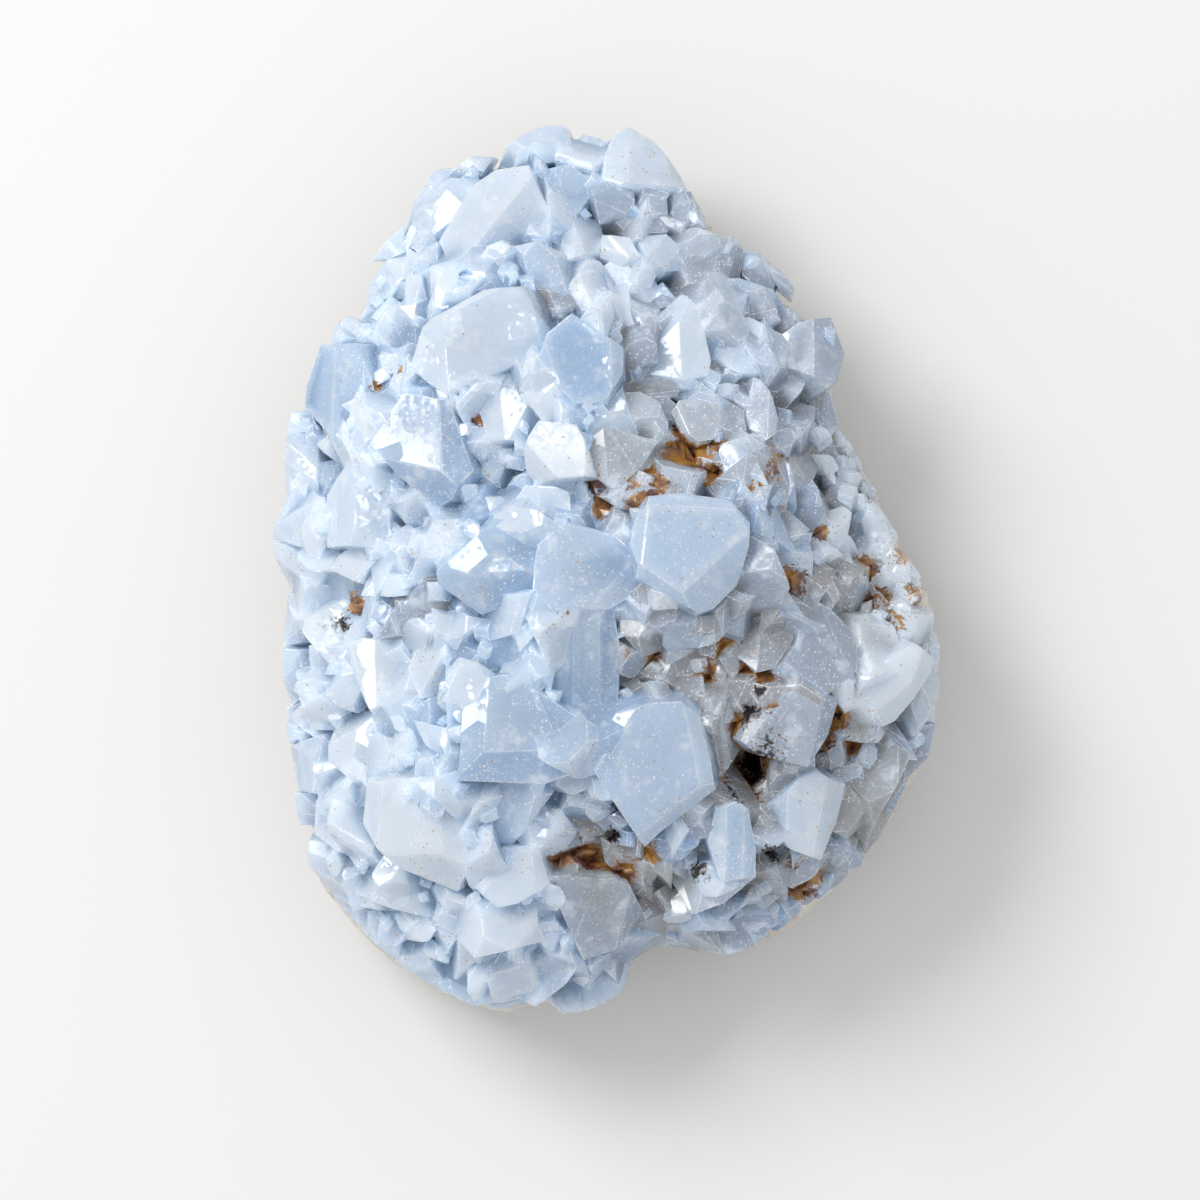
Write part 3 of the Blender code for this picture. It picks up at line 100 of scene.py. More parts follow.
def merged_copy(node, name):
    """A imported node's mesh, merged and with its flat faces whole, as an object of its own."""
    piece = frame["nodes"][node].copy()
    piece.data = piece.data.copy()
    piece.name = piece.data.name = name
    bpy.context.scene.collection.objects.link(piece)
    select_only(piece)
    bpy.ops.object.mode_set(mode="EDIT")
    bpy.ops.mesh.select_all(action="SELECT")
    bpy.ops.mesh.remove_doubles(threshold=1e-6)
    bpy.ops.mesh.dissolve_limited(angle_limit=math.radians(0.5))
    bpy.ops.object.mode_set(mode="OBJECT")
    return piece


crust = merged_copy("crystals", "crystal_crust")
print("crust:", len(crust.data.polygons), "faces")


# %% [markdown]
# ## Small crystals
# Celestite is orthorhombic: its crystals are blocks with a chisel-shaped end. We model a few shapes
# one by one from a cube, each with its own chisel and worn corners, and plant copies of them where the
# surface is hollow, pointing outwards. The tops of the large crystals stay clear.


# %% Crystal shapes
def block_crystal(name, chisel, slant, corner):
    """A block one unit wide: its top drawn in to a chisel, tipped by slant and with cut corners."""
    bpy.ops.object.select_all(action="DESELECT")
    bpy.ops.mesh.primitive_cube_add(size=1.0, location=(0, 0, 0))
    shape = bpy.context.object
    shape.name = name
    bpy.ops.object.mode_set(mode="EDIT")
    bpy.ops.mesh.select_all(action="DESELECT")
    bpy.ops.object.mode_set(mode="OBJECT")
    for face in shape.data.polygons:
        face.select = face.normal.z > 0.5
    bpy.ops.object.mode_set(mode="EDIT")
    bpy.ops.mesh.extrude_region_move(TRANSFORM_OT_translate={"value": (0, slant, 0.5)})
    bpy.ops.transform.resize(value=(chisel, 0.9, 1.0))
    bpy.ops.mesh.select_all(action="SELECT")
    bpy.ops.mesh.bevel(offset=corner, affect="VERTICES", offset_type="OFFSET", clamp_overlap=True)
    bpy.ops.object.mode_set(mode="OBJECT")
    return shape


shapes = [
    block_crystal("chisel crystal", 0.3, 0.05, 0.18),
    block_crystal("slanted crystal", 0.5, 0.3, 0.24),
    block_crystal("stubby crystal", 0.62, -0.25, 0.32),
    block_crystal("blade crystal", 0.15, 0.15, 0.12),
]
print("shapes:", {shape.name: len(shape.data.polygons) for shape in shapes})

# %% Where crystals are wanted
RING = 2.0 * MM  # the surface this far around tells whether a place is hollow
RING_POINTS = 8
LOOK_FROM = 100 * MM  # higher than the stone
# Pits that stay open: x, y and reach in millimetres
OPEN_PITS = [(16.6, -25.0, 3.6), (-32.6, -5.8, 1.8), (19.6, -34.3, 1.5), (0.7, -31.8, 1.0)]


def place_at(x, y):
    """A place on the stone from millimetres, measured from the middle of its outline."""
    return (x + 0.1) * MM, (y - 0.19) * MM


def surface_of(piece):
    """The piece's faces, ready for finding where a line meets them."""
    corners = [vert.co for vert in piece.data.vertices]
    return BVHTree.FromPolygons(corners, [tuple(face.vertices) for face in piece.data.polygons])


def look_down(surface, x, y):
    """Where a line from above meets the surface, the face's direction there and its number."""
    return surface.ray_cast(Vector((x, y, LOOK_FROM)), Vector((0, 0, -1)))[:3]


def hollowness(surface, point):
    """How far the surface around a place is above it."""
    angles = [math.tau * i / RING_POINTS for i in range(RING_POINTS)]
    around = [(point.x + RING * math.cos(angle), point.y + RING * math.sin(angle)) for angle in angles]
    hits = [look_down(surface, x, y)[0] for x, y in around]
    heights = [hit.z for hit in hits if hit]
    at_the_rim = len(heights) <= 5
    return None if at_the_rim else sum(heights) / len(heights) - point.z


def hollow_places(piece, count, least, rng):
    """Places at least this far below what is around them, but in no pit that stays open."""
    low, high = packed_box
    surface = surface_of(piece)
    places = []
    while len(places) < count:
        x, y = rng.uniform(low[0], high[0]), rng.uniform(low[1], high[1])
        point, normal, _ = look_down(surface, x, y)
        hollow = hollowness(surface, point) if point else None
        in_pit = any(math.dist((x, y), place_at(px, py)) < reach * MM for px, py, reach in OPEN_PITS)
        if hollow is not None and hollow > least and not in_pit:
            places.append((point, normal, hollow))
    return places


# %% Planting them
LEAN = 0.7  # how far a crystal leans at random, against 1 straight up
ALONG_SURFACE = 0.6  # how far it follows the surface under it
SKEW = 0.4
DEEPEST_FILLED = 3.5 * MM
BURIED = 6 * MM  # a corner lower than this can't stick out of the outline


def apply_modifier(piece, kind, **settings):
    modifier = piece.modifiers.new(kind.title(), kind)
    for name, value in settings.items():
        setattr(modifier, name, value)
    select_only(piece)
    bpy.ops.object.modifier_apply(modifier=modifier.name)


packed_rock = surface_of(frame["nodes"]["matrix"])


def plant(piece, places, sizes, rng):
    """Grows a crystal at each place, its tip about level with what is around it.

    A crystal that would stick out of the stone's outline is left out."""
    group = bpy.data.collections.new("small crystals")
    bpy.context.scene.collection.children.link(group)
    surface = surface_of(piece)
    for point, normal, hollow in places:
        lean = Vector((rng.uniform(-LEAN, LEAN), rng.uniform(-LEAN, LEAN), 0.0))
        outward = (Vector((0, 0, 1)) + normal * ALONG_SURFACE + lean).normalized()
        size = rng.uniform(*sizes) * MM
        stretch = Vector((rng.uniform(0.9, 1.5), rng.uniform(0.8, 1.1), rng.uniform(0.9, 1.4))) * size
        proud = 0.22 * size + rng.uniform(0.4, 1.0) * min(hollow, DEEPEST_FILLED)
        turned = outward.to_track_quat("Z", "Y") @ Quaternion((0, 0, 1), rng.uniform(0, math.tau))
        place = Matrix.Translation(point + outward * (proud - stretch.z))
        skewed = Matrix(((1, rng.uniform(-SKEW, SKEW), 0), (rng.uniform(-SKEW, SKEW), 1, 0), (0, 0, 1)))
        place = place @ turned.to_matrix().to_4x4() @ skewed.to_4x4() @ Matrix.Diagonal((*stretch, 1.0))
        shape = rng.choice(shapes)
        corners = [place @ vert.co for vert in shape.data.vertices]
        seen = [(corner.x, corner.y) for corner in corners if corner.z > BURIED]
        if not all(look_down(surface, x, y)[0] or look_down(packed_rock, x, y)[0] for x, y in seen):
            continue
        copy = shape.copy()
        copy.data = copy.data.copy()
        copy.data.transform(place)
        group.objects.link(copy)
    apply_modifier(
        piece, "BOOLEAN", operation="UNION", solver="MANIFOLD", operand_type="COLLECTION", collection=group
    )
    for copy in list(group.objects):
        bpy.data.objects.remove(copy)


rng = random.Random(11)
# Large ones first: how many, how hollow their place is at least, and their smallest and largest size
for count, least, sizes in (
    (150, 1.5 * MM, (6.0, 9.5)),
    (210, 1.0 * MM, (3.8, 6.0)),
    (130, 0.8 * MM, (2.2, 3.6)),
    (110, 0.5 * MM, (1.2, 2.0)),
):
    plant(crust, hollow_places(crust, count, least, rng), sizes, rng)

# %% [markdown]
# The bare rock on the right carries a druse: a sugary carpet of tiny pale crystals that never grew up.


# %% The druse
def bare_places(piece, count, rng):
    """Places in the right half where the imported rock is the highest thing, facing up."""
    low, high = packed_box
    surface = surface_of(piece)
    places = []
    while len(places) < count:
        x, y = rng.uniform(0, high[0]), rng.uniform(low[1], high[1])
        rock_point, normal, _ = look_down(packed_rock, x, y)
        crust_point = look_down(surface, x, y)[0]
        if rock_point and normal.z > 0.35 and (crust_point is None or crust_point.z < rock_point.z):
            places.append((rock_point, normal, rng.uniform(0.2, 1.4) * MM))
    return places


for count, sizes in ((90, (2.4, 4.4)), (220, (1.0, 2.2))):
    plant(crust, bare_places(crust, count, rng), sizes, rng)
for shape in shapes:
    bpy.data.objects.remove(shape)


# %% No stray faces
def drop_scraps(piece):
    """Takes out flat scraps that the union leaves: two faces back to back on the same corners."""
    shape = bmesh.new()
    shape.from_mesh(piece.data)
    sharing = {}
    for face in shape.faces:
        sharing.setdefault(frozenset(vert.index for vert in face.verts), []).append(face)
    scraps = [face for faces in sharing.values() if len(faces) > 1 for face in faces]
    bmesh.ops.delete(shape, geom=scraps, context="FACES")
    open_edges = sum(not edge.is_manifold for edge in shape.edges)
    shape.to_mesh(piece.data)
    shape.free()
    print("scraps removed:", len(scraps), "open edges left:", open_edges)


drop_scraps(crust)

# %% [markdown]
# ## A tint for each crystal
# Neighbouring crystals differ: some are milky with tiny bubbles, some deep blue, and near the rusty
# hollow on the right they are smoky. Toward the lit left they are also painted milkier, a painted
# paling, and in the right half some get a grey smoke that is painted shade. The faces of one crystal
# meet at ridges, and a valley parts two crystals, so we walk from face to face over ridges only, and
# each walk finds one crystal, or a piece of one where a neighbour grew across it.

# %% Finding the crystals
VALLEY = -0.02  # radians: an edge bent inwards more than this parts two crystals


def crystals_of(mesh):
    """For each face, the number of its crystal."""
    shape = bmesh.new()
    shape.from_mesh(mesh)
    shape.faces.ensure_lookup_table()
    numbers = [-1] * len(shape.faces)
    count = 0
    for first in shape.faces:
        if numbers[first.index] >= 0:
            continue
        numbers[first.index] = count
        waiting = [first]
        while waiting:
            face = waiting.pop()
            for edge in face.edges:
                if not edge.is_manifold or edge.calc_face_angle_signed() < VALLEY:
                    continue
                for other in edge.link_faces:
                    if numbers[other.index] < 0:
                        numbers[other.index] = count
                        waiting.append(other)
        count += 1
    shape.free()
    return numbers, count


numbers, crystal_count = crystals_of(crust.data)
print("crystals found:", crystal_count)

# %% Tints
# How milky, how deep a blue and how smoky, each from 0 to 1
TINTS = {
    "white": (1.0, 0.0, 0.0),
    "frosty": (0.65, 0.0, 0.0),
    "pale": (0.35, 0.0, 0.0),
    "blue": (0.0, 0.45, 0.0),
    "deep": (0.0, 0.9, 0.05),
    "slate": (0.0, 0.9, 0.55),
    "lilac": (0.05, 0.45, 0.45),
    "grey": (0.1, 0.1, 0.6),
    "smoky": (0.0, 0.0, 1.0),
}
# The crystals whose tint stands out, by a place on each, in millimetres
TINTED = {
    "white": [
        (-33, 11), (-34.5, 15), (-22, -10), (-6, 14.5), (-7, 21.5), (35, -13), (-22.5, -36.5), (0, 36),
        (-11, 19.5), (-23.5, -5.5),
    ],
    "frosty": [
        (1.5, 26), (-23, -31), (-29, -12), (-31, -20), (-32.5, -29), (-34, -37), (-29, -44),
        (-23, -42), (-16, -44), (-17, -50), (-34, 22), (-37, -24), (-37, 6), (-38, -6), (-26, -20),
        (25, 27), (8, -31), (-14, 43), (2, 31.5), (-1, 40), (16, 27),
    ],
    "pale": [
        (-17, 46), (-14, 28), (-12, 20), (4.5, 27.5), (-31, 8), (-12, -36.5), (24, -29), (-7.5, -49),
        (0, -50), (12, -38), (-7, 52.5), (4, 51), (8, 27), (-20, 14),
    ],
    "blue": [
        (10, 3), (-2, 0.5), (-15, 1), (-12, -8), (-4.5, -11), (-10, -21), (5.5, -22), (-3, 26), (16, 33),
        (-33, 25), (-23, -20), (15, -34),
    ],
    "deep": [(-26, 11), (-27.8, 17), (-28, -5), (-0.5, -19), (10.5, -32.5), (-17.5, -20), (-17, 7)],
    "slate": [
        (-1, -42), (3, -13), (-25, -5), (2, 28), (-7, 33), (15, 20), (23, -18.5), (30, -2.5), (24, -10),
    ],
    "lilac": [(13, 38), (26.5, 26), (18, 28), (22, 22), (16, 23), (19, 3), (23.5, 18), (28, 10), (22, -34)],
    "grey": [(9, -13), (8, -44), (6, 18), (12, 18), (0, 15), (17, 14), (5, -41), (30.5, -19), (-3, -30)],
    "smoky": [
        (18, -8), (20, -13), (17, -15), (14, -25.5), (21, -24.5), (11, -7), (9, -12), (13, -19), (3, -9),
        (24, -1),
    ],
}
# Groups of small crystals with one tint: its name, the place and the reach, in millimetres
GROUPS = [
    ("white", 1, 36, 5.0), ("frosty", 12, -26.5, 2.0), ("smoky", 15.5, -23, 6.0), ("smoky", -2, -35.5, 4.5),
    ("smoky", 5, -37, 4.0), ("grey", 8, -46, 4.5), ("smoky", 30, -2.5, 3.0), ("lilac", 22, 22, 7.0),
    ("grey", 6, 14, 6.0), ("frosty", -30, -38, 8.0), ("slate", -7, 33, 2.5), ("slate", 2, 28, 2.0),
    ("slate", -26, -5, 2.5), ("slate", 11, -33, 2.5), ("smoky", 31, -28.5, 3.0), ("grey", 30, -20, 3.0),
]
SMOKY_PLACE = Vector((17.0, -19.0)) * MM
SMOKY_REACH = 24.0 * MM
HALF_WIDTH = 40 * MM
RIND_FROM = 25 * MM  # the creamy small crystals on the right rim, and how far up and down they reach
RIND_LOW, RIND_HIGH = -20 * MM, 17 * MM


def tint_crystals(piece, numbers, count, rng):
    """Writes each face's tint: listed, by its group or at random by where its crystal is."""
    centres = np.zeros((count, 4))
    for face, number in zip(piece.data.polygons, numbers):
        centres[number] += (*(face.center * face.area), face.area)
    tints = []
    for x, y, _, area in centres:
        near = max(0.0, 1 - (Vector((x, y)) / area - SMOKY_PLACE).length / SMOKY_REACH)
        # Painted light: toward the lit left a crystal is made milkier and less deep blue, and in the right
        # half it gets some random smoke, which is painted shade.
        left = min(1.0, max(-1.0, -x / area / HALF_WIDTH))
        milky = rng.uniform(0.0, 0.4) + 0.35 * left
        deep = rng.uniform(0.0, 0.8) - 0.4 * left
        smoky = rng.uniform(0.5, 1.0) * near + (rng.uniform(0.0, 0.5) if left < 0 else 0.0)
        if x / area > RIND_FROM and RIND_LOW < y / area < RIND_HIGH:
            milky, deep, smoky = rng.uniform(0.5, 1.0), 0.0, rng.uniform(0.0, 0.7)
        for name, group_x, group_y, reach in GROUPS:
            if math.dist((x / area, y / area), place_at(group_x, group_y)) < reach * MM:
                milky, deep, smoky = (value * rng.uniform(0.7, 1.0) for value in TINTS[name])
        tints.append((max(0.0, milky), min(1.0, max(0.0, deep)), min(1.0, smoky)))
    surface = surface_of(piece)
    for name, places in TINTED.items():
        for x, y in places:
            _, _, face = look_down(surface, *place_at(x, y))
            if face is None:
                print("no crystal at", x, y)
            else:
                tints[numbers[face]] = TINTS[name]
    colours = []
    for number in numbers:
        milky, deep, smoky = tints[number]
        lighter = rng.uniform(-0.14, 0.14)
        colours += (max(0.0, milky + lighter), max(0.0, deep - lighter), smoky, 1.0)
    attribute = piece.data.attributes.new("tint", "FLOAT_COLOR", "FACE")
    attribute.data.foreach_set("color", colours)


tint_crystals(crust, numbers, crystal_count, random.Random(5))

# %% [markdown]
# ## Edges
# Celestite is soft, so its edges are worn and catch the light as thin white lines, and a crystal looks
# paler where it is thin. Blender's inset folds over itself where a face has narrow corners, so we draw
# each face's inner rings ourselves and keep only those that don't fold. The attribute "rim" is high at
# the edge and falls over the margin, for the finish to read, and ridges sink a little, which rounds them.

# %% Worn edges
STRIP = 0.2 * MM
MARGIN = 1.0 * MM
SINK = 0.05 * MM
STRIP_RIM = 0.8  # the value at the strip's inner side
FLAT_RIM = 0.6  # the highest value inside a face
TINY_RIM = 0.5  # the value of a face too small or narrow for a ring
RIDGE, HOLLOW_EDGE = 0.3, -0.1  # radians


def ring_inside(points, normal, width):
    """The outline moved inwards by width, or None where that folds it."""
    count = len(points)
    along = [(points[(i + 1) % count] - points[i]).normalized() for i in range(count)]
    inner = []
    for i, point in enumerate(points):
        before, after = normal.cross(along[i - 1]), normal.cross(along[i])
        inner.append(point + (before + after) / max(0.3, 1 + before.dot(after)) * width)
    for i in range(count):
        if (inner[(i + 1) % count] - inner[i]).dot(along[i]) <= 0:
            return None
    filled = sum(area_tri(*(inner[i] for i in corners)) for corners in tessellate_polygon([inner]))
    outline = sum((inner[i - 1].cross(inner[i]) for i in range(count)), Vector()).dot(normal) / 2
    return inner if outline > 0 and filled < outline * 1.001 else None


def widest_ring(points, normal, widths):
    """The first ring that doesn't fold, and its width."""
    for width in widths:
        ring = ring_inside(points, normal, width)
        if ring:
            return ring, width
    return None, 0.0


def wear_edges(piece):
    """Gives every face a worn strip and a margin, as rings of quads with a value on each corner."""
    shape = bmesh.new()
    shape.from_mesh(piece.data)
    rim = shape.loops.layers.float.new("rim")

    def fill(verts, values, face_like):
        face = shape.faces.new(verts, face_like)
        for loop, value in zip(face.loops, values):
            loop[rim] = value

    def brightness(edge):
        """How bright the edge is: the sharper the brighter on a ridge, the same in every valley."""
        angle = edge.calc_face_angle_signed(0)
        return min(1.0, 0.8 + 0.25 * angle) if angle > 0 else 0.85

    corners = [(vert, vert.normal.copy()) for vert in shape.verts]
    bends = [(edge.calc_face_angle_signed(0), edge.verts) for edge in shape.edges]
    ridges = {vert for bend, ends in bends if bend > RIDGE for vert in ends}
    valleys = {vert for bend, ends in bends if bend < HOLLOW_EDGE for vert in ends}
    whole = list(shape.faces)
    for face in whole:
        points = [vert.co for vert in face.verts]
        levels = [(list(face.verts), 1.0)]
        strip, _ = widest_ring(points, face.normal, (STRIP, STRIP / 2))
        margin, width = None, 0.0
        if strip:
            levels.append(([shape.verts.new(point) for point in strip], STRIP_RIM))
            margin, width = widest_ring(strip, face.normal, (MARGIN, MARGIN / 2, MARGIN / 4))
        if margin:
            fallen = STRIP_RIM * (1 - width / MARGIN)
            levels.append(([shape.verts.new(point) for point in margin], fallen))
        bright = [brightness(loop.edge) for loop in face.loops]
        for (outer, outer_value), (inner, inner_value) in zip(levels, levels[1:]):
            for i in range(len(outer)):
                j = (i + 1) % len(outer)
                quad = (outer[i], outer[j], inner[j], inner[i])
                start = bright[i] if outer_value == 1.0 else outer_value
                fill(quad, (start, start, inner_value, inner_value), face)
        last, value = levels[-1]
        if len(levels) == 1:
            for loop in face.loops:
                loop[rim] = TINY_RIM
        else:
            fill(last, [min(value, FLAT_RIM)] * len(last), face)
    replaced = [face for face in whole if face.loops[0][rim] != TINY_RIM]
    bmesh.ops.delete(shape, geom=replaced, context="FACES_ONLY")
    for vert, normal in corners:
        if vert in ridges and vert not in valleys:
            vert.co -= normal * SINK
    shape.to_mesh(piece.data)
    shape.free()


wear_edges(crust)
print("crust with worn edges:", sum(len(face.vertices) - 2 for face in crust.data.polygons), "triangles")

# %% [markdown]
# ## Stains
# Iron left rust and ochre crusts in the crevices, most of them in the hollow on the right, and the open
# pits and gaps are painted near black, partly dark iron stain and partly painted shade. Each spot is written
# down as a place and a reach in millimetres, and becomes a value on the vertices around it.

# %% Where the stains are
RUST = [
    (-14, 12.5, 1.6), (-15.7, 18.2, 1.3), (-25, 24.4, 1.4), (-28.7, 22.8, 1.7), (-1.5, 10.5, 2.0),
    (3.2, 9.5, 3.2), (9.5, 13.5, 4.6), (12.8, 15, 2.2), (20, 12.8, 3.4), (23, 0, 3.4), (5, -10.1, 2.0),
    (2.3, -9.8, 1.4), (14.5, -9.6, 2.8), (16.2, -11.2, 2.3), (4, -17, 1.4), (-5, -4.8, 1.2),
    (18.5, -13, 2.4), (16.3, -19, 3.2), (28, -18, 2.6), (26, -20.5, 2.2), (18, -22.5, 3.0),
    (-30.5, -4.5, 2.0), (0, -36.5, 2.2), (-3, -34.5, 3.6), (5.3, -34.3, 2.2), (24, -38.5, 3.4),
    (16.5, -25.5, 4.0), (30, -21, 2.4), (35.5, 2.2, 3.0), (31.5, 0.5, 2.4), (37.2, -2.5, 2.6),
    (33, -3.5, 2.6), (35.5, -6, 2.4), (23, -36.8, 3.6), (12, 12, 2.5), (26, 5, 2.0), (8, 16, 2.5),
    (6, 11, 3.0), (18, 10, 2.5), (21, -2, 3.0), (12, -12, 2.5), (20, -17, 2.5), (-6, -34, 2.5),
    (2, -36, 3.0), (-1, 8, 2.5),
]
# Near-black spots in the open pits and dark gaps: partly dark iron stain, partly painted shade.
PIT_STAIN_AND_SHADE = [
    (16.4, -25.5, 3.6), (17.4, -23.2, 2.6), (19.5, -34.3, 1.8), (0.5, -32, 1.4), (3.2, -4.4, 0.9),
    (-32.5, -6.5, 1.6), (17, -17.5, 2.0), (18.5, -14.5, 1.4), (27.5, -17.5, 1.3), (11, -36.5, 2.0),
]
OLIVE = [(5, -47.8, 3.5), (11, -47, 3.5), (-2, -35.8, 4.5), (31, -30, 4.0), (8, -38, 3.0), (30.5, -19, 2.0)]


def stain_and_pit_shade(piece):
    """Rust, dark and olive strengths on the vertices, each 1 at its places and 0 at their reach."""
    places = np.empty(len(piece.data.vertices) * 3)
    piece.data.vertices.foreach_get("co", places)
    places = places.reshape(-1, 3)[:, :2]
    values = np.ones((len(places), 4))
    for channel, spots in enumerate((RUST, PIT_STAIN_AND_SHADE, OLIVE)):
        values[:, channel] = 0.0
        for x, y, reach in spots:
            away = np.linalg.norm(places - place_at(x, y), axis=1) / (reach * MM)
            values[:, channel] = np.maximum(values[:, channel], np.clip(1.1 - away, 0, 1))
    attribute = piece.data.attributes.new("stain_and_pit_shade", "FLOAT_COLOR", "POINT")
    attribute.data.foreach_set("color", values.ravel())
    print(piece.name, "stained vertices:", int((values[:, :3].max(axis=1) > 0).sum()))


stain_and_pit_shade(crust)

# %% [markdown]
# The finish also reads how far each vertex lies below what is around it. Light reaches hollows through
# more crystal, so hollows get painted shade: deeper blue, less milk, a darker grey and more smoke. Iron
# collects there too.

# %% Hollows
DEEP_HOLLOW = 2 * MM  # its value is 1


def measure_hollows(piece):
    """Writes how hollow each vertex lies, from -1 on a peak to 1 in a deep hollow."""
    surface = surface_of(piece)
    depths = [hollowness(surface, vert.co) or 0.0 for vert in piece.data.vertices]
    attribute = piece.data.attributes.new("hollow", "FLOAT", "POINT")
    values = [min(1.0, max(-1.0, depth / DEEP_HOLLOW)) for depth in depths]
    attribute.data.foreach_set("value", values)
    print("deepest hollow:", round(max(depths) / MM, 1), "mm")


measure_hollows(crust)

# %% [markdown]
# ## Rock
# The crust grew on pale limestone. It shows at the right rim as a cream, sugary rind, and along the
# two ground stretches as a smooth band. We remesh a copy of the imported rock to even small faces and
# push them about with two noises, coarse lumps and fine grains, but leave the ground band smooth.

# %% The rock's surface
FACE = 0.62 * MM
LUMP, LUMP_HEIGHT = 5.0 * MM, 1.3 * MM
GRAIN, GRAIN_DEPTH = 1.9 * MM, 1.1 * MM
GROUND_TURNS = ((-137, -104), (-75, -31))  # degrees around the stone, from +X: lower left, lower right
ON_GROUND = 0.12  # how much of the noises the ground walls keep
rock = merged_copy("matrix", "rough_rock")
apply_modifier(rock, "REMESH", mode="VOXEL", voxel_size=FACE)


def noise_texture(name, kind, size):
    texture = bpy.data.textures.new(name, kind)
    texture.noise_scale = size
    return texture


def roughened(piece):
    """A group of vertices for the noises: all of them fully, but the ground walls only a little."""
    group = piece.vertex_groups.new(name="rough")
    for vert in piece.data.vertices:
        turn = math.degrees(math.atan2(vert.co.y, vert.co.x))
        wall = abs(vert.normal.z) < 0.45
        ground = wall and any(start < turn < end for start, end in GROUND_TURNS)
        group.add([vert.index], ON_GROUND if ground else 1.0, "REPLACE")


roughened(rock)
lumps = noise_texture("rock lumps", "CLOUDS", LUMP)
grains = noise_texture("rock grains", "VORONOI", GRAIN)
apply_modifier(rock, "DISPLACE", texture=lumps, strength=LUMP_HEIGHT, mid_level=0.62, vertex_group="rough")
apply_modifier(
    rock, "DISPLACE", texture=grains, strength=-GRAIN_DEPTH, mid_level=0.35, vertex_group="rough"
)
for vert in rock.data.vertices:
    vert.co.z = max(vert.co.z, 0.0)
stain_and_pit_shade(rock)
print("rock:", sum(len(face.vertices) - 2 for face in rock.data.polygons), "triangles")

# %% Riding and replacing
for piece, node, slot in ((crust, "crystals", "celestite"), (rock, "matrix", "matrix")):
    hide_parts(node)
    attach(piece, "root")


# %% [markdown]
# ## Finishes
# One function adds a node with its settings and links. Colours are written as sRGB hex. In a Map Range
# node, sockets 1 and 2 are the range that is read and 3 and 4 the range that comes out. In a Mix node
# for colours, 6 and 7 are the two colours.

# %% Helpers for materials
def linear(text):
    """An sRGB hex colour as the linear values that a shader takes."""
    channels = [int(text[i : i + 2], 16) / 255 for i in (1, 3, 5)]
    return [c / 12.92 if c <= 0.04045 else ((c + 0.055) / 1.055) ** 2.4 for c in channels] + [1.0]


def add_node(tree, kind, links, give=0, **settings):
    """A node. Links and socket values go by socket name or number, settings by property name."""
    node = tree.nodes.new(kind)
    for name, value in settings.items():
        setattr(node, name, value)
    for socket, value in links.items():
        if isinstance(value, bpy.types.NodeSocket):
            tree.links.new(value, node.inputs[socket])
        else:
            node.inputs[socket].default_value = value
    return node.outputs[give]


def new_material(name, **values):
    """A material, its node tree and its Principled shader with plain values set."""
    material = bpy.data.materials.new(name)
    material.use_nodes = True
    shader = material.node_tree.nodes["Principled BSDF"]
    for socket, value in values.items():
        shader.inputs[socket.replace("_", " ")].default_value = value
    return material, material.node_tree, shader


# %% [markdown]
# ### Celestite
# The real crystals are clear to milky, pale sky blue inside, with a satin, slightly uneven surface.
# Light enters, scatters off tiny bubbles and comes out paler: that is subsurface scattering, with a
# little plain transmission and a blue absorption for the depth. Over that lie wispy veils, healed
# cracks, worn white edges and the dust that sticks to a soft mineral. Each crystal face is a mosaic of
# slightly tilted patches, so we tilt the direction in which the shader sees each patch face.

# %% What the celestite finish reads
celestite, tree, shader = new_material(
    "celestite, satin crystal faces", IOR=1.62, Transmission_Weight=0.3, Subsurface_Scale=4.0 * MM
)
shader.inputs["Subsurface Radius"].default_value = (0.86, 1.0, 1.12)
shader.subsurface_method = "BURLEY"
place = add_node(tree, "ShaderNodeTexCoord", {}, give=3)
tint = add_node(tree, "ShaderNodeAttribute", {}, attribute_name="tint")
milky = add_node(tree, "ShaderNodeSeparateColor", {0: tint}, give=0)
deep = add_node(tree, "ShaderNodeSeparateColor", {0: tint}, give=1)
smoky = add_node(tree, "ShaderNodeSeparateColor", {0: tint}, give=2)
rim = add_node(tree, "ShaderNodeAttribute", {}, give=2, attribute_name="rim")
stains_and_pit_shade = add_node(tree, "ShaderNodeAttribute", {}, attribute_name="stain_and_pit_shade")
rust = add_node(tree, "ShaderNodeSeparateColor", {0: stains_and_pit_shade}, give=0)
pit_stain_and_shade = add_node(tree, "ShaderNodeSeparateColor", {0: stains_and_pit_shade}, give=1)
olive = add_node(tree, "ShaderNodeSeparateColor", {0: stains_and_pit_shade}, give=2)
hollow = add_node(tree, "ShaderNodeAttribute", {}, give=2, attribute_name="hollow")

# %% Veils and healed cracks
VEIL = 2.6 * MM
wisps = add_node(
    tree, "ShaderNodeTexNoise", {"Vector": place, "Scale": 1 / VEIL, "Detail": 3.0, "Roughness": 0.6}
)
veils = add_node(
    tree, "ShaderNodeMapRange", {0: wisps, 1: 0.5, 2: 0.74, 3: 0.0, 4: 0.6}, interpolation_type="SMOOTHSTEP"
)
line = add_node(tree, "ShaderNodeMath", {0: wisps, 1: 0.46, 2: 0.006}, operation="COMPARE")
cracks = add_node(tree, "ShaderNodeMath", {0: line, 1: 0.45}, operation="MULTIPLY")

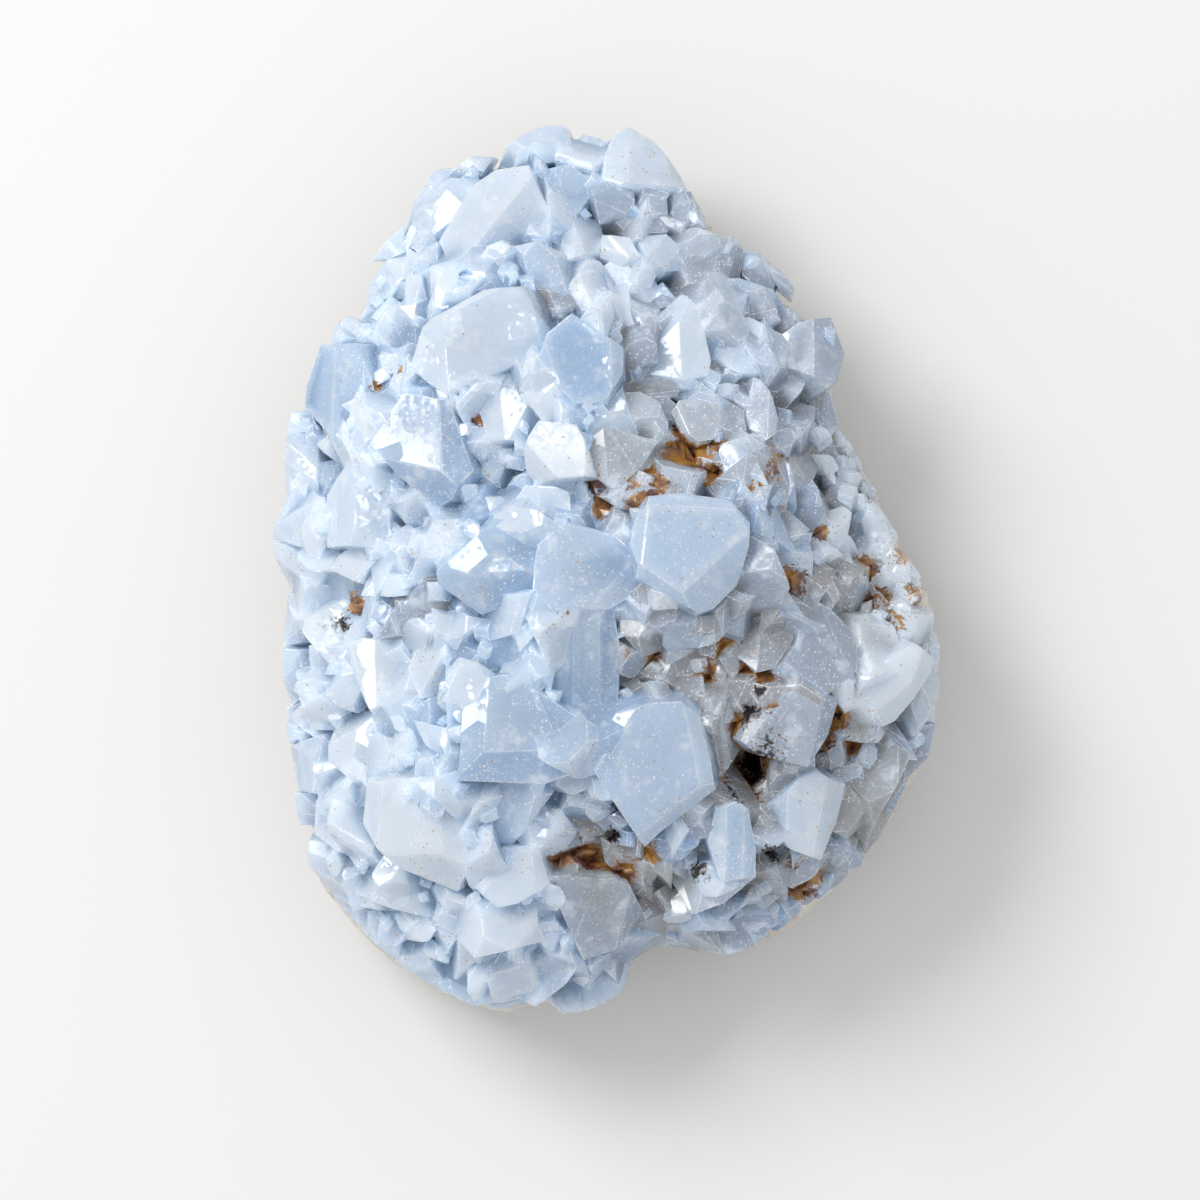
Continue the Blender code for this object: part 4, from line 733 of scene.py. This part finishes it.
# %% Dust and worn edges
GRIT = 0.45 * MM
DUST = 0.5 * MM
DRIFT = 8.0 * MM
grit = add_node(tree, "ShaderNodeTexNoise", {"Vector": place, "Scale": 1 / GRIT, "Detail": 1.0})
sharp = add_node(tree, "ShaderNodeMapRange", {0: rim, 1: 0.82, 2: 1.0})
chipped = add_node(tree, "ShaderNodeMapRange", {0: grit, 1: 0.36, 2: 0.62, 3: 0.1, 4: 1.0})
edges = add_node(tree, "ShaderNodeMath", {0: sharp, 1: chipped}, operation="MULTIPLY")
dust_away = add_node(tree, "ShaderNodeTexVoronoi", {"Vector": place, "Scale": 1 / DUST})
dust_number = add_node(tree, "ShaderNodeTexVoronoi", {"Vector": place, "Scale": 1 / DUST}, give=1)
chance = add_node(tree, "ShaderNodeSeparateColor", {0: dust_number}, give=0)
kind = add_node(tree, "ShaderNodeSeparateColor", {0: dust_number}, give=1)
drifts = add_node(tree, "ShaderNodeTexNoise", {"Vector": place, "Scale": 1 / DRIFT, "Detail": 1.0})
dusty = add_node(tree, "ShaderNodeMapRange", {0: drifts, 1: 0.44, 2: 0.6, 3: 0.03, 4: 0.8})
grain = add_node(tree, "ShaderNodeMapRange", {0: dust_away, 1: 0.16, 2: 0.3, 3: 1.0, 4: 0.0})
dusty = add_node(tree, "ShaderNodeMath", {0: rust, 1: 0.7, 2: dusty}, operation="MULTIPLY_ADD")
lying = add_node(tree, "ShaderNodeMath", {0: chance, 1: dusty}, operation="LESS_THAN")
specks = add_node(tree, "ShaderNodeMath", {0: grain, 1: lying}, operation="MULTIPLY")

# %% Celestite's colour
milk = add_node(tree, "ShaderNodeMath", {0: milky, 1: veils}, operation="ADD")
milk = add_node(tree, "ShaderNodeMath", {0: rim, 1: 0.45, 2: milk}, operation="MULTIPLY_ADD")
milk = add_node(tree, "ShaderNodeMath", {0: milk, 1: cracks}, operation="ADD", use_clamp=True)
# Painted shade in hollows: less milk, deeper blue, a mix toward dark grey and more smoke on smoky crystals.
hollow_shade_milk_factor = add_node(tree, "ShaderNodeMapRange", {0: hollow, 1: -0.1, 2: 0.8, 3: 1.0, 4: 0.35})
milk = add_node(tree, "ShaderNodeMath", {0: milk, 1: hollow_shade_milk_factor}, operation="MULTIPLY")
hollow_shade_mask = add_node(tree, "ShaderNodeMapRange", {0: hollow, 1: -0.15, 2: 0.75, 3: 0.0, 4: 1.0})
shaded = add_node(tree, "ShaderNodeMath", {0: hollow_shade_mask, 1: 0.5}, operation="MULTIPLY")
deep = add_node(tree, "ShaderNodeMath", {0: deep, 1: hollow_shade_mask}, operation="ADD", use_clamp=True)
colour = add_node(
    tree, "ShaderNodeMix", {0: deep, 6: linear("#cadef3"), 7: linear("#86abd5")}, 2, data_type="RGBA"
)
smoky_and_hollow_shade = add_node(
    tree, "ShaderNodeMath", {0: smoky, 1: hollow_shade_mask, 2: smoky}, operation="MULTIPLY_ADD", use_clamp=True
)
# Painted shade: hollows mixed toward dark grey.
colour = add_node(tree, "ShaderNodeMix", {0: shaded, 6: colour, 7: linear("#6d7f90")}, 2, data_type="RGBA")
colour = add_node(tree, "ShaderNodeMix", {0: smoky_and_hollow_shade, 6: colour, 7: linear("#837e7d")}, 2, data_type="RGBA")
colour = add_node(tree, "ShaderNodeMix", {0: milk, 6: colour, 7: linear("#e3ecf5")}, 2, data_type="RGBA")
colour = add_node(tree, "ShaderNodeMix", {0: edges, 6: colour, 7: linear("#fdfdfd")}, 2, data_type="RGBA")
golden = add_node(tree, "ShaderNodeMath", {0: kind, 1: rust}, operation="ADD")
golden = add_node(tree, "ShaderNodeMath", {0: golden, 1: 0.85}, operation="GREATER_THAN")
speck = add_node(
    tree, "ShaderNodeMix", {0: golden, 6: linear("#fbfbfa"), 7: linear("#d3a35c")}, 2, data_type="RGBA"
)
colour = add_node(tree, "ShaderNodeMix", {0: specks, 6: colour, 7: speck}, 2, data_type="RGBA")

# %% Stains and painted pit shade on celestite
CRUMB = 0.5 * MM
crumbly = add_node(
    tree, "ShaderNodeTexNoise", {"Vector": place, "Scale": 1 / CRUMB, "Detail": 1.0, "Roughness": 0.7}
)
low = add_node(tree, "ShaderNodeMapRange", {0: hollow, 1: -0.6, 2: 0.6, 3: -0.35, 4: 0.3})
rusty = add_node(tree, "ShaderNodeMath", {0: rust, 1: crumbly}, operation="ADD")
rusty = add_node(tree, "ShaderNodeMath", {0: rusty, 1: low}, operation="ADD")
rusty = add_node(
    tree, "ShaderNodeMapRange", {0: rusty, 1: 1.12, 2: 1.32, 3: 0.0, 4: 0.9}, interpolation_type="SMOOTHSTEP"
)
fresh = add_node(tree, "ShaderNodeMapRange", {0: wisps, 1: 0.4, 2: 0.6})
ochre = add_node(
    tree, "ShaderNodeMix", {0: fresh, 6: linear("#6a2f06"), 7: linear("#d6993a")}, 2, data_type="RGBA"
)
# Dark iron stain and painted shade: the open pits and gaps go near black.
pit_stain_and_shade_mix = add_node(tree, "ShaderNodeMath", {0: pit_stain_and_shade, 1: crumbly}, operation="ADD")
pit_stain_and_shade_mix = add_node(
    tree, "ShaderNodeMapRange", {0: pit_stain_and_shade_mix, 1: 0.8, 2: 1.15}, interpolation_type="SMOOTHSTEP"
)
mossy = add_node(tree, "ShaderNodeMath", {0: olive, 1: 0.7}, operation="MULTIPLY")
colour = add_node(tree, "ShaderNodeMix", {0: mossy, 6: colour, 7: linear("#8d8c80")}, 2, data_type="RGBA")
colour = add_node(tree, "ShaderNodeMix", {0: rusty, 6: colour, 7: ochre}, 2, data_type="RGBA")
colour = add_node(tree, "ShaderNodeMix", {0: pit_stain_and_shade_mix, 6: colour, 7: linear("#1d130c")}, 2, data_type="RGBA")
tree.links.new(colour, shader.inputs["Base Color"])

# %% Where nothing lies on it
covered = add_node(tree, "ShaderNodeMath", {0: rusty, 1: pit_stain_and_shade_mix}, operation="MAXIMUM")
covered = add_node(tree, "ShaderNodeMath", {0: covered, 1: specks}, operation="MAXIMUM")
bare = add_node(tree, "ShaderNodeMath", {0: 1.0, 1: covered}, operation="SUBTRACT")
tree.links.new(bare, shader.inputs["Subsurface Weight"])

# %% Celestite's gloss and relief
PATCH = 4.5 * MM
PATCH_TILT, DUST_TILT = 0.32, 0.1  # against 1 for the face's own direction
MIDDLE = (0.5, 0.5, 0.5)
satin = add_node(tree, "ShaderNodeMapRange", {0: drifts, 1: 0.38, 2: 0.62, 3: 0.08, 4: 0.34})
worn = add_node(tree, "ShaderNodeMath", {0: edges, 1: 0.3, 2: satin}, operation="MULTIPLY_ADD")
tree.links.new(worn, shader.inputs["Roughness"])
lean = add_node(tree, "ShaderNodeTexVoronoi", {"Vector": place, "Scale": 1 / PATCH}, give=1)
lean = add_node(tree, "ShaderNodeVectorMath", {0: lean, 1: MIDDLE}, operation="SUBTRACT")
sparkle = add_node(tree, "ShaderNodeVectorMath", {0: dust_number, 1: MIDDLE}, operation="SUBTRACT")
outward = add_node(tree, "ShaderNodeNewGeometry", {}, give=1)
leaning = add_node(
    tree, "ShaderNodeVectorMath", {0: lean, 1: [PATCH_TILT] * 3, 2: outward}, operation="MULTIPLY_ADD"
)
uneven = add_node(
    tree, "ShaderNodeVectorMath", {0: sparkle, 1: [DUST_TILT] * 3, 2: leaning}, operation="MULTIPLY_ADD"
)
uneven = add_node(tree, "ShaderNodeVectorMath", {0: uneven}, operation="NORMALIZE")
tree.links.new(uneven, shader.inputs["Normal"])
absorb = add_node(tree, "ShaderNodeVolumeAbsorption", {"Color": linear("#a6c4e2"), "Density": 24.0})
tree.links.new(absorb, tree.nodes["Material Output"].inputs["Volume"])

# %% [markdown]
# ### Limestone
# A dull, granular rock, cream where it is fresh and clouded greyer, with rust and olive stains.
# It has hardly any gloss, and its grains are under 1 mm, so they show as a fine sugary relief.

# %% Limestone
CLOUD = 6 * MM
SPECKLE, SPECKLE_HEIGHT = 0.7 * MM, 0.35 * MM
SUGAR, SUGAR_HEIGHT = 0.9 * MM, 0.3 * MM
limestone, tree, shader = new_material("limestone, broken and ground", Roughness=0.85)
place = add_node(tree, "ShaderNodeTexCoord", {}, give=3)
stains_and_pit_shade = add_node(tree, "ShaderNodeAttribute", {}, attribute_name="stain_and_pit_shade")
rust = add_node(tree, "ShaderNodeSeparateColor", {0: stains_and_pit_shade}, give=0)
pit_stain_and_shade = add_node(tree, "ShaderNodeSeparateColor", {0: stains_and_pit_shade}, give=1)
olive = add_node(tree, "ShaderNodeSeparateColor", {0: stains_and_pit_shade}, give=2)
clouds = add_node(tree, "ShaderNodeTexNoise", {"Vector": place, "Scale": 1 / CLOUD, "Detail": 5.0})
grains = add_node(tree, "ShaderNodeTexNoise", {"Vector": place, "Scale": 1 / SPECKLE, "Detail": 3.0})
sugar = add_node(tree, "ShaderNodeTexVoronoi", {"Vector": place, "Scale": 1 / SUGAR})
cloudy = add_node(tree, "ShaderNodeMapRange", {0: clouds, 1: 0.35, 2: 0.65})
colour = add_node(
    tree, "ShaderNodeMix", {0: cloudy, 6: linear("#ece7de"), 7: linear("#cdc6ba")}, 2, data_type="RGBA"
)
speckled = add_node(tree, "ShaderNodeMapRange", {0: grains, 1: 0.5, 2: 0.68, 3: 0.0, 4: 0.5})
colour = add_node(tree, "ShaderNodeMix", {0: speckled, 6: colour, 7: linear("#b5ab9c")}, 2, data_type="RGBA")
colour = add_node(tree, "ShaderNodeMix", {0: olive, 6: colour, 7: linear("#77766a")}, 2, data_type="RGBA")
rusty = add_node(tree, "ShaderNodeMath", {0: rust, 1: grains}, operation="ADD")
rusty = add_node(tree, "ShaderNodeMapRange", {0: rusty, 1: 1.0, 2: 1.5, 3: 0.0, 4: 0.8})
ochre = add_node(
    tree, "ShaderNodeMix", {0: cloudy, 6: linear("#c07a26"), 7: linear("#e3b062")}, 2, data_type="RGBA"
)
colour = add_node(tree, "ShaderNodeMix", {0: rusty, 6: colour, 7: ochre}, 2, data_type="RGBA")
# Near black in the pits: dark iron stain with painted shade.
colour = add_node(tree, "ShaderNodeMix", {0: pit_stain_and_shade, 6: colour, 7: linear("#2a1d14")}, 2, data_type="RGBA")
tree.links.new(colour, shader.inputs["Base Color"])
height = add_node(tree, "ShaderNodeMath", {0: grains, 1: SPECKLE_HEIGHT}, operation="MULTIPLY")
height = add_node(tree, "ShaderNodeMath", {0: sugar, 1: SUGAR_HEIGHT, 2: height}, operation="MULTIPLY_ADD")
relief = add_node(tree, "ShaderNodeBump", {"Height": height, "Strength": 1.0, "Distance": 1.0})
tree.links.new(relief, shader.inputs["Normal"])

# %% Dressing
for piece, finish in ((crust, celestite), (rock, limestone)):
    piece.data.materials.clear()
    piece.data.materials.append(finish)

# %% [markdown]
# ## Light, floor and camera
# Daylight through a big window to the upper left, in a bright room, on a pale table.

# %% Floor
BELOW = 0.1 * MM  # the floor stays this far under the stone, so that the two don't flicker
bpy.ops.mesh.primitive_plane_add(size=3.0, location=(0, 0, -BELOW))
floor = bpy.context.object
floor.name = "floor"
pale, tree, shader = new_material("pale table", Roughness=0.9, Specular_IOR_Level=0.0)
shader.inputs["Base Color"].default_value = linear("#e6e5e3")
floor.data.materials.append(pale)

# %% Light
world = bpy.data.worlds.new("bright room")
bpy.context.scene.world = world
world.use_nodes = True
world.node_tree.nodes["Background"].inputs["Color"].default_value = linear("#f4f6fa")
world.node_tree.nodes["Background"].inputs["Strength"].default_value = 0.83
bpy.ops.object.light_add(type="AREA", location=(-0.6, 0.5, 0.8))
window = bpy.context.object
window.data.size = 0.5
window.data.energy = 7.5
window.rotation_euler = (window.location - Vector((0, 0, 0.02))).to_track_quat("Z", "Y").to_euler()

# %% Camera
PHOTO_WIDTH = 145.6 * MM  # how much the photograph's frame spans at the stone
PHOTO_MIDDLE = Vector((-0.99 * MM, -3.65 * MM, 28 * MM))
CAMERA_HEIGHT = 1.2
bpy.ops.object.camera_add(location=PHOTO_MIDDLE + Vector((0, 0, CAMERA_HEIGHT)), rotation=(0, 0, 0))
camera = bpy.context.object
camera.data.angle = 2 * math.atan(PHOTO_WIDTH / 2 / CAMERA_HEIGHT)
camera.data.clip_start = 0.01
bpy.context.scene.camera = camera
bpy.context.scene.view_settings.view_transform = "Standard"

# %% [markdown]
# Light paths are kept short and caustics are left out: the milky crystals scatter light anyway, and the
# picture takes less time.

# %% Light paths
paths = bpy.context.scene.cycles
paths.max_bounces = 5
paths.transmission_bounces = 3
paths.diffuse_bounces = 2
paths.glossy_bounces = 2
paths.use_light_tree = False
paths.caustics_reflective = False
paths.caustics_refractive = False
